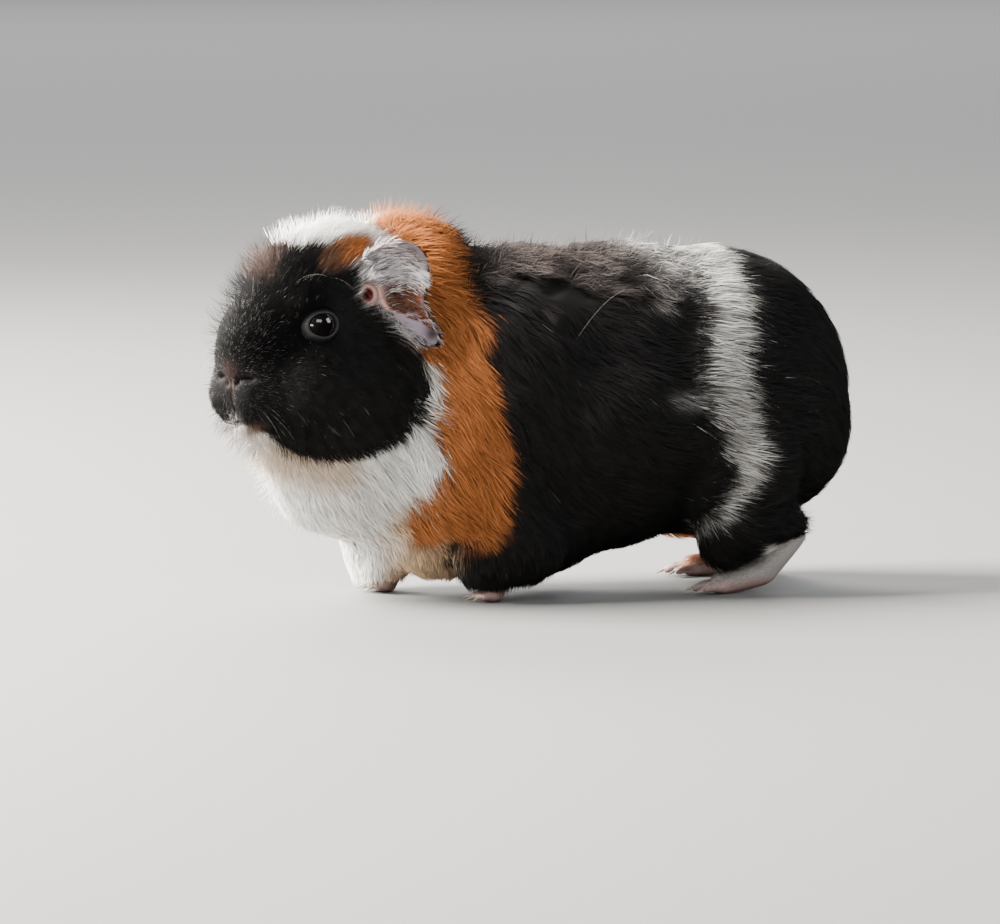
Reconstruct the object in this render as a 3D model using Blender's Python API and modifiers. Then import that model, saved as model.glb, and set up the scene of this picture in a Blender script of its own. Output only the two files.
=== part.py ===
"""A life-size standing guinea pig, as a still museum model, divided into the parts a person would name.

Sizes are millimetres in the tables below and metres once they reach Blender.
X runs from the head (-X) to the rump (+X), Y from the animal's left (-Y) to its right, and Z is up.
The floor is Z = 0. The solids follow the outer surface of the coat, out to the tips of the hair.
"""

import math

import bmesh
import bpy
from mathutils import Matrix, Vector

MM = 0.001
MODEL_NAME = "guinea_pig"

# Driving dimensions, in millimetres and degrees.
FACE_DEPTH = 25  # the face reaches this far behind the eyes
GAP = 0.35  # clear gap left between neighbouring parts
BODY_VOXEL = 1.8  # grid on which the masses of the body are fused
BODY_TRIANGLES = 3000
HEAD_FINENESS = 0.01  # strength with which the face keeps its facets when the body is thinned out
LEG_VOXEL = 1.4
LEG_TRIANGLES = 230
FOOT_VOXEL = 0.6
FOOT_TRIANGLES = 290
HEAD_TURN = 25  # the head looks to the animal's left
HEAD_REACH = 45  # from the neck's pivot to the line between the eyes
NECK_PIVOT = (-60, 0, 0)
EYE_RADIUS = 6.0
EYE_PLACE = (-0.1, 19.2, 108.4)  # in the head's frame: back, outwards, up
CLAW_LENGTH = 4.6
CLAW_RADIUS = 0.85

# The masses of the trunk: centre, half sizes along X, Y and Z, and tilt about Y.
TRUNK_MASSES = {
    "rib cage": ((-8, 0, 79), (68, 47, 59), 0),
    "back": ((30, 0, 88.5), (72, 43, 49.5), 0),
    "flanks": ((26, 0, 72), (66, 51, 46), 0),
    "belly": ((18, 0, 60), (62, 45, 46), 5),
    "brisket": ((-2, -2, 36), (36, 36, 30), 8),
    "fringe between the forelegs": ((-38, -2, 27.5), (26, 21, 22), 0),
    "hindquarters": ((70, 0, 76.5), (58.5, 49, 58), 0),
    "rump": ((91, 0, 65), (38.5, 41, 40), 0),
    "shoulder left": ((-32, -22, 60), (30, 24, 40), 0),
    "shoulder right": ((-38, 22, 62), (28, 24, 42), 0),
    "chest": ((-66, 2, 58), (34, 34, 40), 25),
}

NECK_MASSES = {
    "nape": ((-50, 0, 106), (39, 33, 43), 0),
    "throat": ((-83, -10, 71), (27, 30, 35), 30),
    "dewlap": ((-82, -6, 53), (26, 27, 29), 0),
}

# The masses of the head, in its own frame: X backwards from the line between the eyes, Y to its right.
HEAD_MASSES = {
    "cranium": ((17, 0, 111), (36, 26, 36), 0),
    "crown": ((24, 0, 124), (28, 24, 26), 0),
    "brow left": ((0, -15, 116), (13, 8, 8), 0),
    "brow right": ((0, 15, 116), (13, 8, 8), 0),
    "snout": ((-10, 0, 99), (23.5, 17, 24), 0),
    "nose": ((-25.5, 0, 88), (7, 9, 10), 0),
    "whisker pad left": ((-19, -8, 82), (13.5, 9.5, 13), 0),
    "whisker pad right": ((-19, 8, 82), (13.5, 9.5, 13), 0),
    "chin": ((-12, 0, 71), (15, 11, 10), 0),
    "cheek left": ((12, -13, 82), (31, 20, 27), 0),
    "cheek right": ((12, 13, 82), (31, 20, 27), 0),
    "jaw": ((4, 0, 74), (28, 20, 18), 0),
}

# The planes that part the body: a point, and how far the plane leans back from upright.
HEAD_CUT = ((37, 0, 105), 18)  # in the head's frame
NECK_CUT = ((-36, 0, 90), 20)

# Limbs as chains of joints: each a point and the half thickness of the furred limb there.
LIMBS = {
    "foreleg_left": [
        ((-26, -27, 52), 20), ((-9, -31, 21), 14.5), ((-28, -30, 17.5), 13), ((-23, -29, 7), 6),
    ],
    "foreleg_right": [
        ((-50, 20, 50), 21), ((-57, 14, 28), 19.5), ((-58, 12, 18), 16), ((-58, 12, 11.5), 10.5),
    ],
    "hindleg_left": [
        ((78, -30, 52), 22), ((73, -33, 31.5), 18.5), ((68, -33, 20), 11.5), ((90, -32, 29.5), 11.5),
        ((96, -30, 21), 6),
    ],
    "hindleg_right": [
        ((76, 30, 50), 22), ((70, 32, 32), 18), ((90, 31, 22), 11), ((98, 30, 10), 6.5),
    ],
}

# Feet: the ankle, the heel or palm, the ball of the foot, the half width there, and the digits' reach.
FEET = {
    "forepaw_left": {"chain": [((-22, -29, 9), 4.8), ((-23, -29, 3.6), 4.6)],
                     "spread": 3.4, "reach": 6, "digits": 4},
    "forepaw_right": {"chain": [((-53, 12, 9), 4.8), ((-55, 12, 3.6), 4.6)],
                     "spread": 3.4, "reach": 6, "digits": 4},
    "hindfoot_left": {
        "chain": [((97, -30, 22), 5.4), ((85, -29, 7.5), 5.2), ((69, -28, 3.6), 4.8)],
        "spread": 3.8, "reach": 10, "digits": 3,
    },
    "hindfoot_right": {
        "chain": [((101, 30, 8), 5.4), ((90, 30, 5), 5.2), ((75, 30, 3.6), 4.8)],
        "spread": 3.8, "reach": 10, "digits": 3,
    },
}
TOE_RADIUS = 2.0
FOOT_OF_LEG = dict(zip(LIMBS, FEET))
# The ear: a petal fanned out behind its opening, from the upper front edge to the drooping lobe.
EAR_OPENING = (20.5, 21, 120)  # in the head's frame: back, outwards, up
EAR_FAN = (92, -47)
EAR_REACH = 23.5
EAR_LOBE_REACH = 9.5
EAR_LOBE_ANGLE = -35
EAR_LOBE_WIDTH = 13
EAR_FRONT_LOSS = 4  # how much shorter the ear is along its front edge
EAR_FRONT_ANGLE = 60  # where that shortening begins
EAR_FLARE = 42
EAR_STAND = 9  # how far the upper edge stands out from the head
EAR_THICKNESS = 2.2

# Colour, roughness and metallic value of each finish.
FINISHES = {
    "black_coat": ((0.012, 0.011, 0.011), 0.7, 0.0),
    "white_coat": ((0.78, 0.74, 0.68), 0.75, 0.0),
    "ginger_coat": ((0.42, 0.16, 0.045), 0.75, 0.0),
    "ear_skin": ((0.36, 0.27, 0.28), 0.55, 0.0),
    "paw_skin": ((0.55, 0.34, 0.30), 0.6, 0.0),
    "eye": ((0.01, 0.008, 0.008), 0.08, 0.0),
    "claw": ((0.55, 0.45, 0.38), 0.4, 0.0),
}
FINISH_OF = {
    "neck": "ginger_coat",
    "foreleg_right": "white_coat",
    "hindfoot_left": "white_coat",
    "hindfoot_right": "ginger_coat",
}


def clear_scene():
    for obj in list(bpy.data.objects):
        bpy.data.objects.remove(obj)


def finish(name, kind):
    """A material of its own for one part."""
    colour, roughness, metallic = FINISHES[kind]
    material = bpy.data.materials.new(name)
    material.use_nodes = True
    shader = material.node_tree.nodes["Principled BSDF"]
    shader.inputs["Base Color"].default_value = (*colour, 1)
    shader.inputs["Roughness"].default_value = roughness
    shader.inputs["Metallic"].default_value = metallic
    return material


def from_bmesh(name, bm):
    """An object in the current scene, made of bm, which is freed."""
    mesh = bpy.data.meshes.new(name)
    bm.to_mesh(mesh)
    bm.free()
    obj = bpy.data.objects.new(name, mesh)
    bpy.context.scene.collection.objects.link(obj)
    return obj


def ellipsoid(bm, centre, radii, frame, tilt=0.0, segments=28):
    """Adds an ellipsoid to bm. Sizes are millimetres in the given frame."""
    shape = (
        frame
        @ Matrix.Translation(Vector(centre) * MM)
        @ Matrix.Rotation(math.radians(tilt), 4, "Y")
        @ Matrix.Diagonal((*(Vector(radii) * MM), 1))
    )
    bmesh.ops.create_uvsphere(bm, u_segments=segments, v_segments=segments // 2, radius=1, matrix=shape)


def tapered_rod(bm, start, start_radius, end, end_radius, segments=20):
    """Adds a round bar with ball ends between two points in millimetres."""
    level = Matrix.Identity(4)
    for point, radius in ((start, start_radius), (end, end_radius)):
        ellipsoid(bm, point, (radius,) * 3, level, segments=segments)
    axis = Vector(end) - Vector(start)
    middle = (Vector(end) + Vector(start)) / 2
    turn = axis.to_track_quat("Z", "Y").to_matrix().to_4x4()
    bmesh.ops.create_cone(
        bm,
        cap_ends=True,
        segments=segments,
        radius1=start_radius * MM,
        radius2=end_radius * MM,
        depth=axis.length * MM,
        matrix=Matrix.Translation(middle * MM) @ turn,
    )


def chain_of_rods(bm, joints):
    for (start, start_radius), (end, end_radius) in zip(joints, joints[1:]):
        tapered_rod(bm, start, start_radius, end, end_radius)


def head_frame():
    """Carries the head's own frame to the body's: turned about the neck, then moved out to the eyes."""
    return (
        Matrix.Translation(Vector(NECK_PIVOT) * MM)
        @ Matrix.Rotation(math.radians(HEAD_TURN), 4, "Z")
        @ Matrix.Translation(Vector((-HEAD_REACH, 0, 0)) * MM)
    )


def applied(obj):
    """Makes obj's modifiers permanent."""
    graph = bpy.context.evaluated_depsgraph_get()
    mesh = bpy.data.meshes.new_from_object(obj.evaluated_get(graph), depsgraph=graph)
    obj.modifiers.clear()
    obj.data = mesh


def fused(obj, voxel, smoothing, triangles, fine_region=None):
    """Fuses the overlapping masses of obj into one smooth skin of about that many triangles.

    Facets stay smaller where fine_region, a test of a vertex's place, holds.
    """
    remesh = obj.modifiers.new("Fuse", "REMESH")
    remesh.mode = "VOXEL"
    remesh.voxel_size = voxel * MM
    smooth = obj.modifiers.new("Soften", "SMOOTH")
    smooth.factor = 0.5
    smooth.iterations = smoothing
    applied(obj)
    decimate = obj.modifiers.new("Simplify", "DECIMATE")
    decimate.ratio = min(1.0, triangles / (2 * len(obj.data.polygons)))
    if fine_region:
        group = obj.vertex_groups.new(name="coarse")
        for vertex in obj.data.vertices:
            group.add([vertex.index], 0.5 if fine_region(vertex.co) else 1.0, "REPLACE")
        decimate.vertex_group = group.name
        decimate.vertex_group_factor = HEAD_FINENESS
    applied(obj)
    obj.vertex_groups.clear()


def boolean(obj, operation, tool):
    modifier = obj.modifiers.new(operation, "BOOLEAN")
    modifier.operation = operation
    modifier.object = tool
    applied(obj)


def keep_largest(obj):
    """Drops the slivers that a cut may leave beside the main body of obj."""
    bm = bmesh.new()
    bm.from_mesh(obj.data)
    unseen = set(bm.verts)
    islands = []
    while unseen:
        stack = [unseen.pop()]
        island = set(stack)
        while stack:
            for edge in stack.pop().link_edges:
                for vertex in edge.verts:
                    if vertex in unseen:
                        unseen.remove(vertex)
                        island.add(vertex)
                        stack.append(vertex)
        islands.append(island)
    largest = max(islands, key=len)
    bmesh.ops.delete(bm, geom=[v for v in bm.verts if v not in largest], context="VERTS")
    bm.to_mesh(obj.data)
    bm.free()


def grown(obj, margin):
    """A copy of obj, swollen by the margin in millimetres, to cut its neighbour with."""
    bm = bmesh.new()
    bm.from_mesh(obj.data)
    bm.normal_update()
    moves = [(v, v.normal * (margin * MM)) for v in bm.verts]
    for vertex, move in moves:
        vertex.co += move
    return from_bmesh("cutter", bm)


def cut_by(obj, neighbour, margin=GAP):
    """Takes the neighbour's room, and the gap round it, out of obj."""
    tool = grown(neighbour, margin)
    boolean(obj, "DIFFERENCE", tool)
    bpy.data.objects.remove(tool)
    keep_largest(obj)


def half_space(point, lean, frame, ahead):
    """A large block whose face stands half a gap from a plane, ahead of it (-X) or behind it."""
    size = 600
    bm = bmesh.new()
    shift = (size + GAP) / 2
    shape = (
        frame
        @ Matrix.Translation(Vector(point) * MM)
        @ Matrix.Rotation(math.radians(lean), 4, "Y")
        @ Matrix.Translation(Vector((-shift if ahead else shift, 0, 0)) * MM)
    )
    bmesh.ops.create_cube(bm, size=size * MM, matrix=shape)
    return from_bmesh("half space", bm)


def kept_beside(obj, point, lean, frame, ahead):
    """Keeps only the part of obj ahead of a leaning plane, or behind it."""
    tool = half_space(point, lean, frame, ahead)
    boolean(obj, "INTERSECT", tool)
    bpy.data.objects.remove(tool)
    keep_largest(obj)


def copied(obj, name):
    twin = bpy.data.objects.new(name, obj.data.copy())
    bpy.context.scene.collection.objects.link(twin)
    return twin


def make_body():
    """The head, neck and trunk, modelled whole and parted by two leaning planes."""
    bm = bmesh.new()
    level = Matrix.Identity(4)
    for masses, frame in ((TRUNK_MASSES, level), (NECK_MASSES, level), (HEAD_MASSES, head_frame())):
        for centre, radii, tilt in masses.values():
            ellipsoid(bm, centre, radii, frame, tilt)
    body = from_bmesh("body", bm)
    to_head = head_frame().inverted()
    fused(body, BODY_VOXEL, 30, BODY_TRIANGLES, lambda place: (to_head @ place).x < FACE_DEPTH * MM)
    head = copied(body, "head")
    kept_beside(head, *HEAD_CUT, head_frame(), ahead=True)
    neck = copied(body, "neck")
    kept_beside(neck, *HEAD_CUT, head_frame(), ahead=False)
    kept_beside(neck, *NECK_CUT, level, ahead=True)
    trunk = copied(body, "trunk")
    kept_beside(trunk, *NECK_CUT, level, ahead=False)
    bpy.data.objects.remove(body)
    return head, neck, trunk


def make_foot(name):
    """A foot with its digits and claws. Returns the foot and the claws."""
    plan = FEET[name]
    ball, _ = plan["chain"][-1]
    bm = bmesh.new()
    chain_of_rods(bm, plan["chain"])
    count = plan["digits"]
    tips = []
    for number in range(count):
        across = 2 * number / (count - 1) - 1
        root = Vector(ball) + Vector((-1, across * plan["spread"], -1))
        reach = plan["reach"] * (1 - 0.28 * across * across)
        tip = root + Vector((-reach, across * 1.6, -0.4))
        knuckle = root.lerp(tip, 0.55) + Vector((0, 0, 1.0))
        chain_of_rods(bm, [(root, TOE_RADIUS + 0.5), (knuckle, TOE_RADIUS), (tip, TOE_RADIUS - 0.3)])
        tips.append((tip, Vector((-1, across * 0.3, -0.12)).normalized()))
    foot = from_bmesh(name, bm)
    fused(foot, FOOT_VOXEL, 3, FOOT_TRIANGLES)
    claws = [make_claw(f"claw_{name}_{number + 1}", *tip) for number, tip in enumerate(tips)]
    for claw in claws:
        cut_by(claw, foot)
    return foot, claws


def make_claw(name, root, aim):
    """A blunt claw that curves down towards the ground."""
    bm = bmesh.new()
    side = aim.cross(Vector((0, 0, 1))).normalized()
    rings = 5
    sides = 6
    loops = []
    for ring in range(rings):
        share = ring / (rings - 1)
        centre = root + aim * (CLAW_LENGTH * share) + Vector((0, 0, 0.5 - 0.9 * share * share))
        radius = CLAW_RADIUS * (1 - 0.75 * share)
        loop = []
        for step in range(sides):
            angle = 2 * math.pi * step / sides
            offset = side * math.cos(angle) + Vector((0, 0, 1)) * math.sin(angle)
            loop.append(bm.verts.new((centre + offset * radius) * MM))
        loops.append(loop)
    for first, second in zip(loops, loops[1:]):
        for step in range(sides):
            after = (step + 1) % sides
            bm.faces.new((first[step], first[after], second[after], second[step]))
    bm.faces.new(reversed(loops[0]))
    bm.faces.new(loops[-1])
    bmesh.ops.recalc_face_normals(bm, faces=bm.faces)
    return from_bmesh(name, bm)


def make_leg(name):
    bm = bmesh.new()
    chain_of_rods(bm, LIMBS[name])
    leg = from_bmesh(name, bm)
    fused(leg, LEG_VOXEL, 6, LEG_TRIANGLES)
    return leg


def ear_reach(angle):
    """How far the ear's edge lies from its opening, at an angle above the backward line."""
    lobe = math.exp(-(((angle - EAR_LOBE_ANGLE) / EAR_LOBE_WIDTH) ** 2))
    front = max(0, angle - EAR_FRONT_ANGLE) / (EAR_FAN[0] - EAR_FRONT_ANGLE)
    return EAR_REACH + EAR_LOBE_REACH * lobe - EAR_FRONT_LOSS * front * front


def make_ear(name, side):
    """A cupped petal, fanned from the ear's opening and given thickness."""
    across = 10
    out = 5
    bm = bmesh.new()
    rows = []
    for i in range(across + 1):
        angle = EAR_FAN[0] + (EAR_FAN[1] - EAR_FAN[0]) * i / across
        reach = ear_reach(angle)
        back, up = math.cos(math.radians(angle)), math.sin(math.radians(angle))
        row = []
        for j in range(out + 1):
            share = 0.12 + 0.88 * j / out
            level_reach = reach * share * back
            stand = EAR_STAND * max(0, up) * share * share
            flare = math.radians(EAR_FLARE)
            outward = Vector((math.cos(flare) * level_reach, math.sin(flare) * level_reach + stand, 0))
            place = Vector(EAR_OPENING) + outward + Vector((0, 0, reach * share * up))
            place.y *= side
            row.append(bm.verts.new(head_frame() @ (place * MM)))
        rows.append(row)
    for first, second in zip(rows, rows[1:]):
        for j in range(out):
            bm.faces.new((first[j], second[j], second[j + 1], first[j + 1]))
    ear = from_bmesh(name, bm)
    solidify = ear.modifiers.new("Thickness", "SOLIDIFY")
    solidify.thickness = EAR_THICKNESS * MM
    solidify.offset = 0
    applied(ear)
    return ear


def make_eye(name, side):
    bm = bmesh.new()
    back, out, up = EYE_PLACE
    ellipsoid(bm, (back, side * out, up), (EYE_RADIUS,) * 3, head_frame(), segments=14)
    return from_bmesh(name, bm)


def above_floor(obj):
    """Flattens the underside of obj at the floor."""
    bm = bmesh.new()
    size = 600
    lift = Matrix.Translation(Vector((0, 0, size / 2)) * MM)
    bmesh.ops.create_cube(bm, size=size * MM, matrix=lift)
    tool = from_bmesh("room above the floor", bm)
    boolean(obj, "INTERSECT", tool)
    bpy.data.objects.remove(tool)


def centred(parts):
    """Moves the parts so that the middle of their common box stands over the origin."""
    corners = [v.co for part in parts for v in part.data.vertices]
    low = Vector([min(corner[axis] for corner in corners) for axis in range(3)])
    high = Vector([max(corner[axis] for corner in corners) for axis in range(3)])
    middle = (low + high) / 2
    shift = Matrix.Translation((-middle.x, -middle.y, -low.z))
    for part in parts:
        part.data.transform(shift)


def main():
    clear_scene()
    head, neck, trunk = make_body()
    parts = [head, neck, trunk]
    for side, word in ((-1, "left"), (1, "right")):
        eye = make_eye(f"eye_{word}", side)
        ear = make_ear(f"ear_{word}", side)
        cut_by(ear, head)
        cut_by(head, eye)
        cut_by(neck, ear)
        parts += [eye, ear]
    for leg_name, foot_name in FOOT_OF_LEG.items():
        leg = make_leg(leg_name)
        foot, claws = make_foot(foot_name)
        cut_by(leg, foot)
        above_floor(foot)
        cut_by(trunk, leg)
        cut_by(neck, leg)
        parts += [leg, foot, *claws]
    centred(parts)
    model = bpy.data.collections.new(MODEL_NAME)
    bpy.context.scene.collection.children.link(model)
    for part in parts:
        for collection in list(part.users_collection):
            collection.objects.unlink(part)
        model.objects.link(part)
        kind = FINISH_OF.get(part.name, "black_coat")
        if part.name.startswith("eye"):
            kind = "eye"
        elif part.name.startswith("ear"):
            kind = "ear_skin"
        elif part.name.startswith("claw"):
            kind = "claw"
        elif part.name.startswith("forepaw"):
            kind = "paw_skin"
        part.data.materials.clear()
        part.data.materials.append(finish(part.name, kind))
        part.data.shade_smooth()


main()
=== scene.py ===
"""The looks of a standing guinea pig: skin, coat, ears, eyes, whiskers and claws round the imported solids.

Places and sizes are in millimetres in the tables and functions, and metres in the meshes.
X runs from the head (-X) to the rump (+X), the animal's left side is -Y, and the floor is Z = 0.
The head has a frame of its own: back from the eyes, out to its right, and up from the floor.
"""

import math

import bmesh
import bpy
import numpy as np
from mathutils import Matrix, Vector
from mathutils.bvhtree import BVHTree
from mathutils.kdtree import KDTree


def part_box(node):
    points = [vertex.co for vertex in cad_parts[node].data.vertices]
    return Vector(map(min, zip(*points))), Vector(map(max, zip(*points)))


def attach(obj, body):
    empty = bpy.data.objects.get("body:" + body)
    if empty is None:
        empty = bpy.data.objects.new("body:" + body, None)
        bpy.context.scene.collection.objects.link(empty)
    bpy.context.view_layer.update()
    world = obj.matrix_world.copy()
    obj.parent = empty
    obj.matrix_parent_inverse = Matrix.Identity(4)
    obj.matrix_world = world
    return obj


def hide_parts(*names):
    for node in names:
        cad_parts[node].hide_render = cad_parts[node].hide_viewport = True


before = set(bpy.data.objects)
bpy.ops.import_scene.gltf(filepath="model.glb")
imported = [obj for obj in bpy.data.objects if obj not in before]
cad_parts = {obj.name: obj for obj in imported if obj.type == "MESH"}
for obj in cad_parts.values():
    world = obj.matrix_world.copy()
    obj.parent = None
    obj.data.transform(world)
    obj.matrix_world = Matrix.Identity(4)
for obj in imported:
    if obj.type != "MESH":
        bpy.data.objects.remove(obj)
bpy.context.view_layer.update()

MM = 0.001
WELD = 0.02  # points of a node closer than this are one
UP = Vector((0, 0, 1))
RNG = np.random.default_rng(20)

FLESH = ["head", "neck", "trunk", "foreleg_left", "foreleg_right", "hindleg_left", "hindleg_right"]
FEET = ["forepaw_left", "forepaw_right", "hindfoot_left", "hindfoot_right"]
EARS = ["ear_left", "ear_right"]
EYE_RADIUS = 6.0
EYE_AHEAD = 0.1  # the eyes lie this far in front of the head frame's origin
TRUNK_AXIS_UP = 75  # the bands run round a line at this height
CURL = 0.35  # how much of its lift at the root a hair keeps at its tip
BEND = 0.48  # how far along a hair its bend lies


# ---------------------------------------------------------------- frames and small helpers


def middle(node):
    low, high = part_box(node)
    return (low + high) / 2


EYES = {-1: middle("eye_left"), 1: middle("eye_right")}
HEAD_RIGHT = (EYES[1] - EYES[-1]).normalized()
HEAD_BACK = HEAD_RIGHT.cross(UP)
HEAD_ORIGIN = (EYES[1] + EYES[-1]) / 2 + HEAD_BACK * (EYE_AHEAD * MM)
HEAD_ORIGIN.z = 0
HEAD_AXES = np.array([HEAD_BACK, HEAD_RIGHT, UP])
EYE_PLACES = [np.array(eye) for eye in EYES.values()]


def to_head(points):
    """Places in metres, in the row frame, as back, right and up in the head's frame, in millimetres."""
    return (points - np.array(HEAD_ORIGIN)) @ HEAD_AXES.T / MM


def from_head(points):
    return np.asarray(points) @ HEAD_AXES * MM + np.array(HEAD_ORIGIN)


def ramp(value, start, end):
    """0 before start and 1 after end, with a smooth rise between them. start may lie after end."""
    share = np.clip((value - start) / (end - start), 0, 1)
    return share * share * (3 - 2 * share)


def unit(vectors):
    return vectors / np.maximum(np.linalg.norm(vectors, axis=-1, keepdims=True), 1e-12)


def noise(points, scale, seed):
    """A smooth wavy value round 0, of about unit size, that varies over scale millimetres."""
    rng = np.random.default_rng(seed)
    waves = unit(rng.normal(size=(7, 3))) * (2 * math.pi / scale) * rng.uniform(0.6, 1.6, (7, 1))
    phases = rng.uniform(0, 2 * math.pi, 7)
    return np.sin(points / MM @ waves.T + phases).sum(1) / math.sqrt(7 / 2)


def round_angle(points):
    """Degrees round the trunk, from 0 along the back to 90 at the left side and 180 under the belly."""
    return np.degrees(np.arctan2(-points[:, 1], points[:, 2] - TRUNK_AXIS_UP * MM))


# ---------------------------------------------------------------- meshes


def new_object(name, mesh):
    obj = bpy.data.objects.new(name, mesh)
    bpy.context.scene.collection.objects.link(obj)
    return obj


def mesh_object(name, points, triangles, colours=None, uvs=None, normals=None):
    """A smooth mesh object from arrays. Colours and normals are for each point, uvs for each corner."""
    mesh = bpy.data.meshes.new(name)
    mesh.vertices.add(len(points))
    mesh.vertices.foreach_set("co", np.asarray(points, np.float32).ravel())
    mesh.loops.add(triangles.size)
    mesh.loops.foreach_set("vertex_index", triangles.ravel().astype(np.int32))
    mesh.polygons.add(len(triangles))
    mesh.polygons.foreach_set("loop_start", np.arange(0, triangles.size, 3, dtype=np.int32))
    mesh.update(calc_edges=True)
    if colours is not None:
        paint(mesh, colours)
    if uvs is not None:
        layer = mesh.uv_layers.new(name="OFBake")
        layer.data.foreach_set("uv", np.asarray(uvs, np.float32).ravel())
    mesh.shade_smooth()
    if normals is not None:
        mesh.normals_split_custom_set_from_vertices(normals)
    return new_object(name, mesh)


def paint(mesh, colours):
    layer = mesh.color_attributes.new("Tint", "FLOAT_COLOR", "POINT")
    layer.data.foreach_set("color", np.c_[colours, np.ones(len(colours))].astype(np.float32).ravel())


def read(items, name, width, kind=np.float32):
    """A property of all of a mesh's items, with a row for each."""
    values = np.empty(len(items) * width, kind)
    items.foreach_get(name, values)
    return values.reshape(-1, width)


def points_of(mesh):
    return read(mesh.vertices, "co", 3).astype(float)


def normals_of(mesh):
    return read(mesh.vertices, "normal", 3).astype(float)


def move_points(mesh, points):
    mesh.vertices.foreach_set("co", points.astype(np.float32).ravel())
    mesh.update()


def applied(obj):
    graph = bpy.context.evaluated_depsgraph_get()
    mesh = bpy.data.meshes.new_from_object(obj.evaluated_get(graph), depsgraph=graph)
    obj.modifiers.clear()
    obj.data = mesh


def joined_nodes(name, nodes, swell):
    """One object from copies of CAD nodes, each swollen a little, so that the gaps between them close."""
    bm = bmesh.new()
    for node in nodes:
        part = bmesh.new()
        part.from_mesh(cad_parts[node].data)
        bmesh.ops.remove_doubles(part, verts=part.verts, dist=WELD * MM)
        part.normal_update()
        moves = [(vertex, vertex.normal * (swell * MM)) for vertex in part.verts]
        for vertex, move in moves:
            vertex.co += move
        copy = bpy.data.meshes.new("copy")
        part.to_mesh(copy)
        part.free()
        bm.from_mesh(copy)
    mesh = bpy.data.meshes.new(name)
    bm.to_mesh(mesh)
    bm.free()
    return new_object(name, mesh)


def joined(parts):
    """Arrays of one mesh from those of several parts: points, triangles and then whatever goes with them."""
    total = 0
    shifted = []
    for points, triangles, *others in parts:
        shifted.append((np.asarray(points), np.asarray(triangles) + total, *others))
        total += len(points)
    return [np.concatenate(arrays) for arrays in zip(*shifted)]


def ring_faces(around, rows):
    """The triangles of a closed ring whose section has rows points and stands at around places."""
    triangles = []
    for step in range(around):
        after = (step + 1) % around
        for row in range(rows):
            below = (row + 1) % rows
            corners = (step * rows + row, after * rows + row, after * rows + below, step * rows + below)
            triangles += [corners[:3], (corners[0], corners[2], corners[3])]
    return np.array(triangles)


def remeshed(obj, voxel, smoothing):
    remesh = obj.modifiers.new("Remesh", "REMESH")
    remesh.mode = "VOXEL"
    remesh.voxel_size = voxel * MM
    smooth = obj.modifiers.new("Smooth", "SMOOTH")
    smooth.factor = 0.5
    smooth.iterations = smoothing
    applied(obj)


def neighbour_means(points, edges):
    total = np.zeros_like(points)
    count = np.bincount(edges.ravel(), minlength=len(points))
    for start, end in ((0, 1), (1, 0)):
        for axis in range(3):
            total[:, axis] += np.bincount(edges[:, start], points[edges[:, end], axis], len(points))
    return total / count[:, None]


# ---------------------------------------------------------------- the skin


def coat_depth(points):
    """How far the skin lies under the tips of the coat, in millimetres."""
    length = coat_length(points)
    lift = np.radians(coat_lift(points))
    return length * (BEND * np.sin(lift) + (1 - BEND) * np.sin(lift * CURL)) + 0.3


def segment_gap(places, start, along):
    """Distance of flat places from a straight piece that runs from start."""
    share = np.clip((places - start) @ along / (along @ along), 0, 1)
    return np.linalg.norm(places - start - share[:, None] * along, axis=1)


def nose_gap(places, route, side):
    """Distance, seen from ahead, from a route given outwards from the nose's middle line and up."""
    gaps = np.full(len(places), 1e9)
    route = np.array([(NOSE_MIDDLE + side * out, up) for out, up in route], float)
    for start, end in zip(route, route[1:]):
        gaps = np.minimum(gaps, segment_gap(places[:, 1:], start, end - start))
    return np.where(places[:, 0] < MUZZLE_BACK, gaps, 1e9)


NOSE_MIDDLE = -3.4  # the nose is turned a little to the animal's left
MUZZLE_BACK = -12  # the nose's routes count only in front of this
# The nose's creases: outwards from its middle line, and up.
NOSTRIL = [(2.6, 86.6), (3.6, 88.4), (5.6, 89.4), (7.4, 88.8)]
LIP = [(0, 72.8), (4, 70.8), (9, 69.2)]
PHILTRUM = [(0, 88), (0, 74)]


def make_skin():
    skin = joined_nodes("skin", FLESH, SKIN_SWELL)
    remeshed(skin, SKIN_VOXEL, SKIN_SMOOTHING)
    mesh = skin.data
    refine(mesh)
    points = points_of(mesh)
    edges = read(mesh.edges, "vertices", 2, np.int32)
    depth = coat_depth(points)[:, None]
    for _ in range(SINKING_STEPS):
        points -= normals_of(mesh) * depth * (MM / SINKING_STEPS)
        for _ in range(2):
            points += (neighbour_means(points, edges) - points) * 0.5
        move_points(mesh, points)
    normals = normals_of(mesh)
    places = to_head(points)
    press = 0.9 * np.exp(-((nose_gap(places, PHILTRUM, 1) / 0.8) ** 2))
    for side in (-1, 1):
        press += 2.0 * np.exp(-((nose_gap(places, NOSTRIL, side) / 1.1) ** 2))
        press += 1.5 * np.exp(-((nose_gap(places, LIP, side) / 0.9) ** 2))
    points = points - normals * (press * MM)[:, None]
    for eye in EYE_PLACES:
        points = socketed(points, eye)
    move_points(mesh, points)
    mesh.shade_smooth()
    return skin


def refine(mesh):
    """Splits the skin's faces more finely at the muzzle and round the eyes."""
    bm = bmesh.new()
    bm.from_mesh(mesh)
    centres = np.array([edge.verts[0].co + edge.verts[1].co for edge in bm.edges]) / 2
    back, _, up = to_head(centres).T
    chosen = (back < -17) & (up > 64) & (up < 98)
    for eye in EYE_PLACES:
        chosen |= np.linalg.norm(centres - eye, axis=1) < 11 * MM
    edges = [edge for edge, take in zip(bm.edges, chosen) if take]
    bmesh.ops.subdivide_edges(bm, edges=edges, cuts=1, use_grid_fill=True)
    bm.to_mesh(mesh)
    bm.free()


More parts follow.
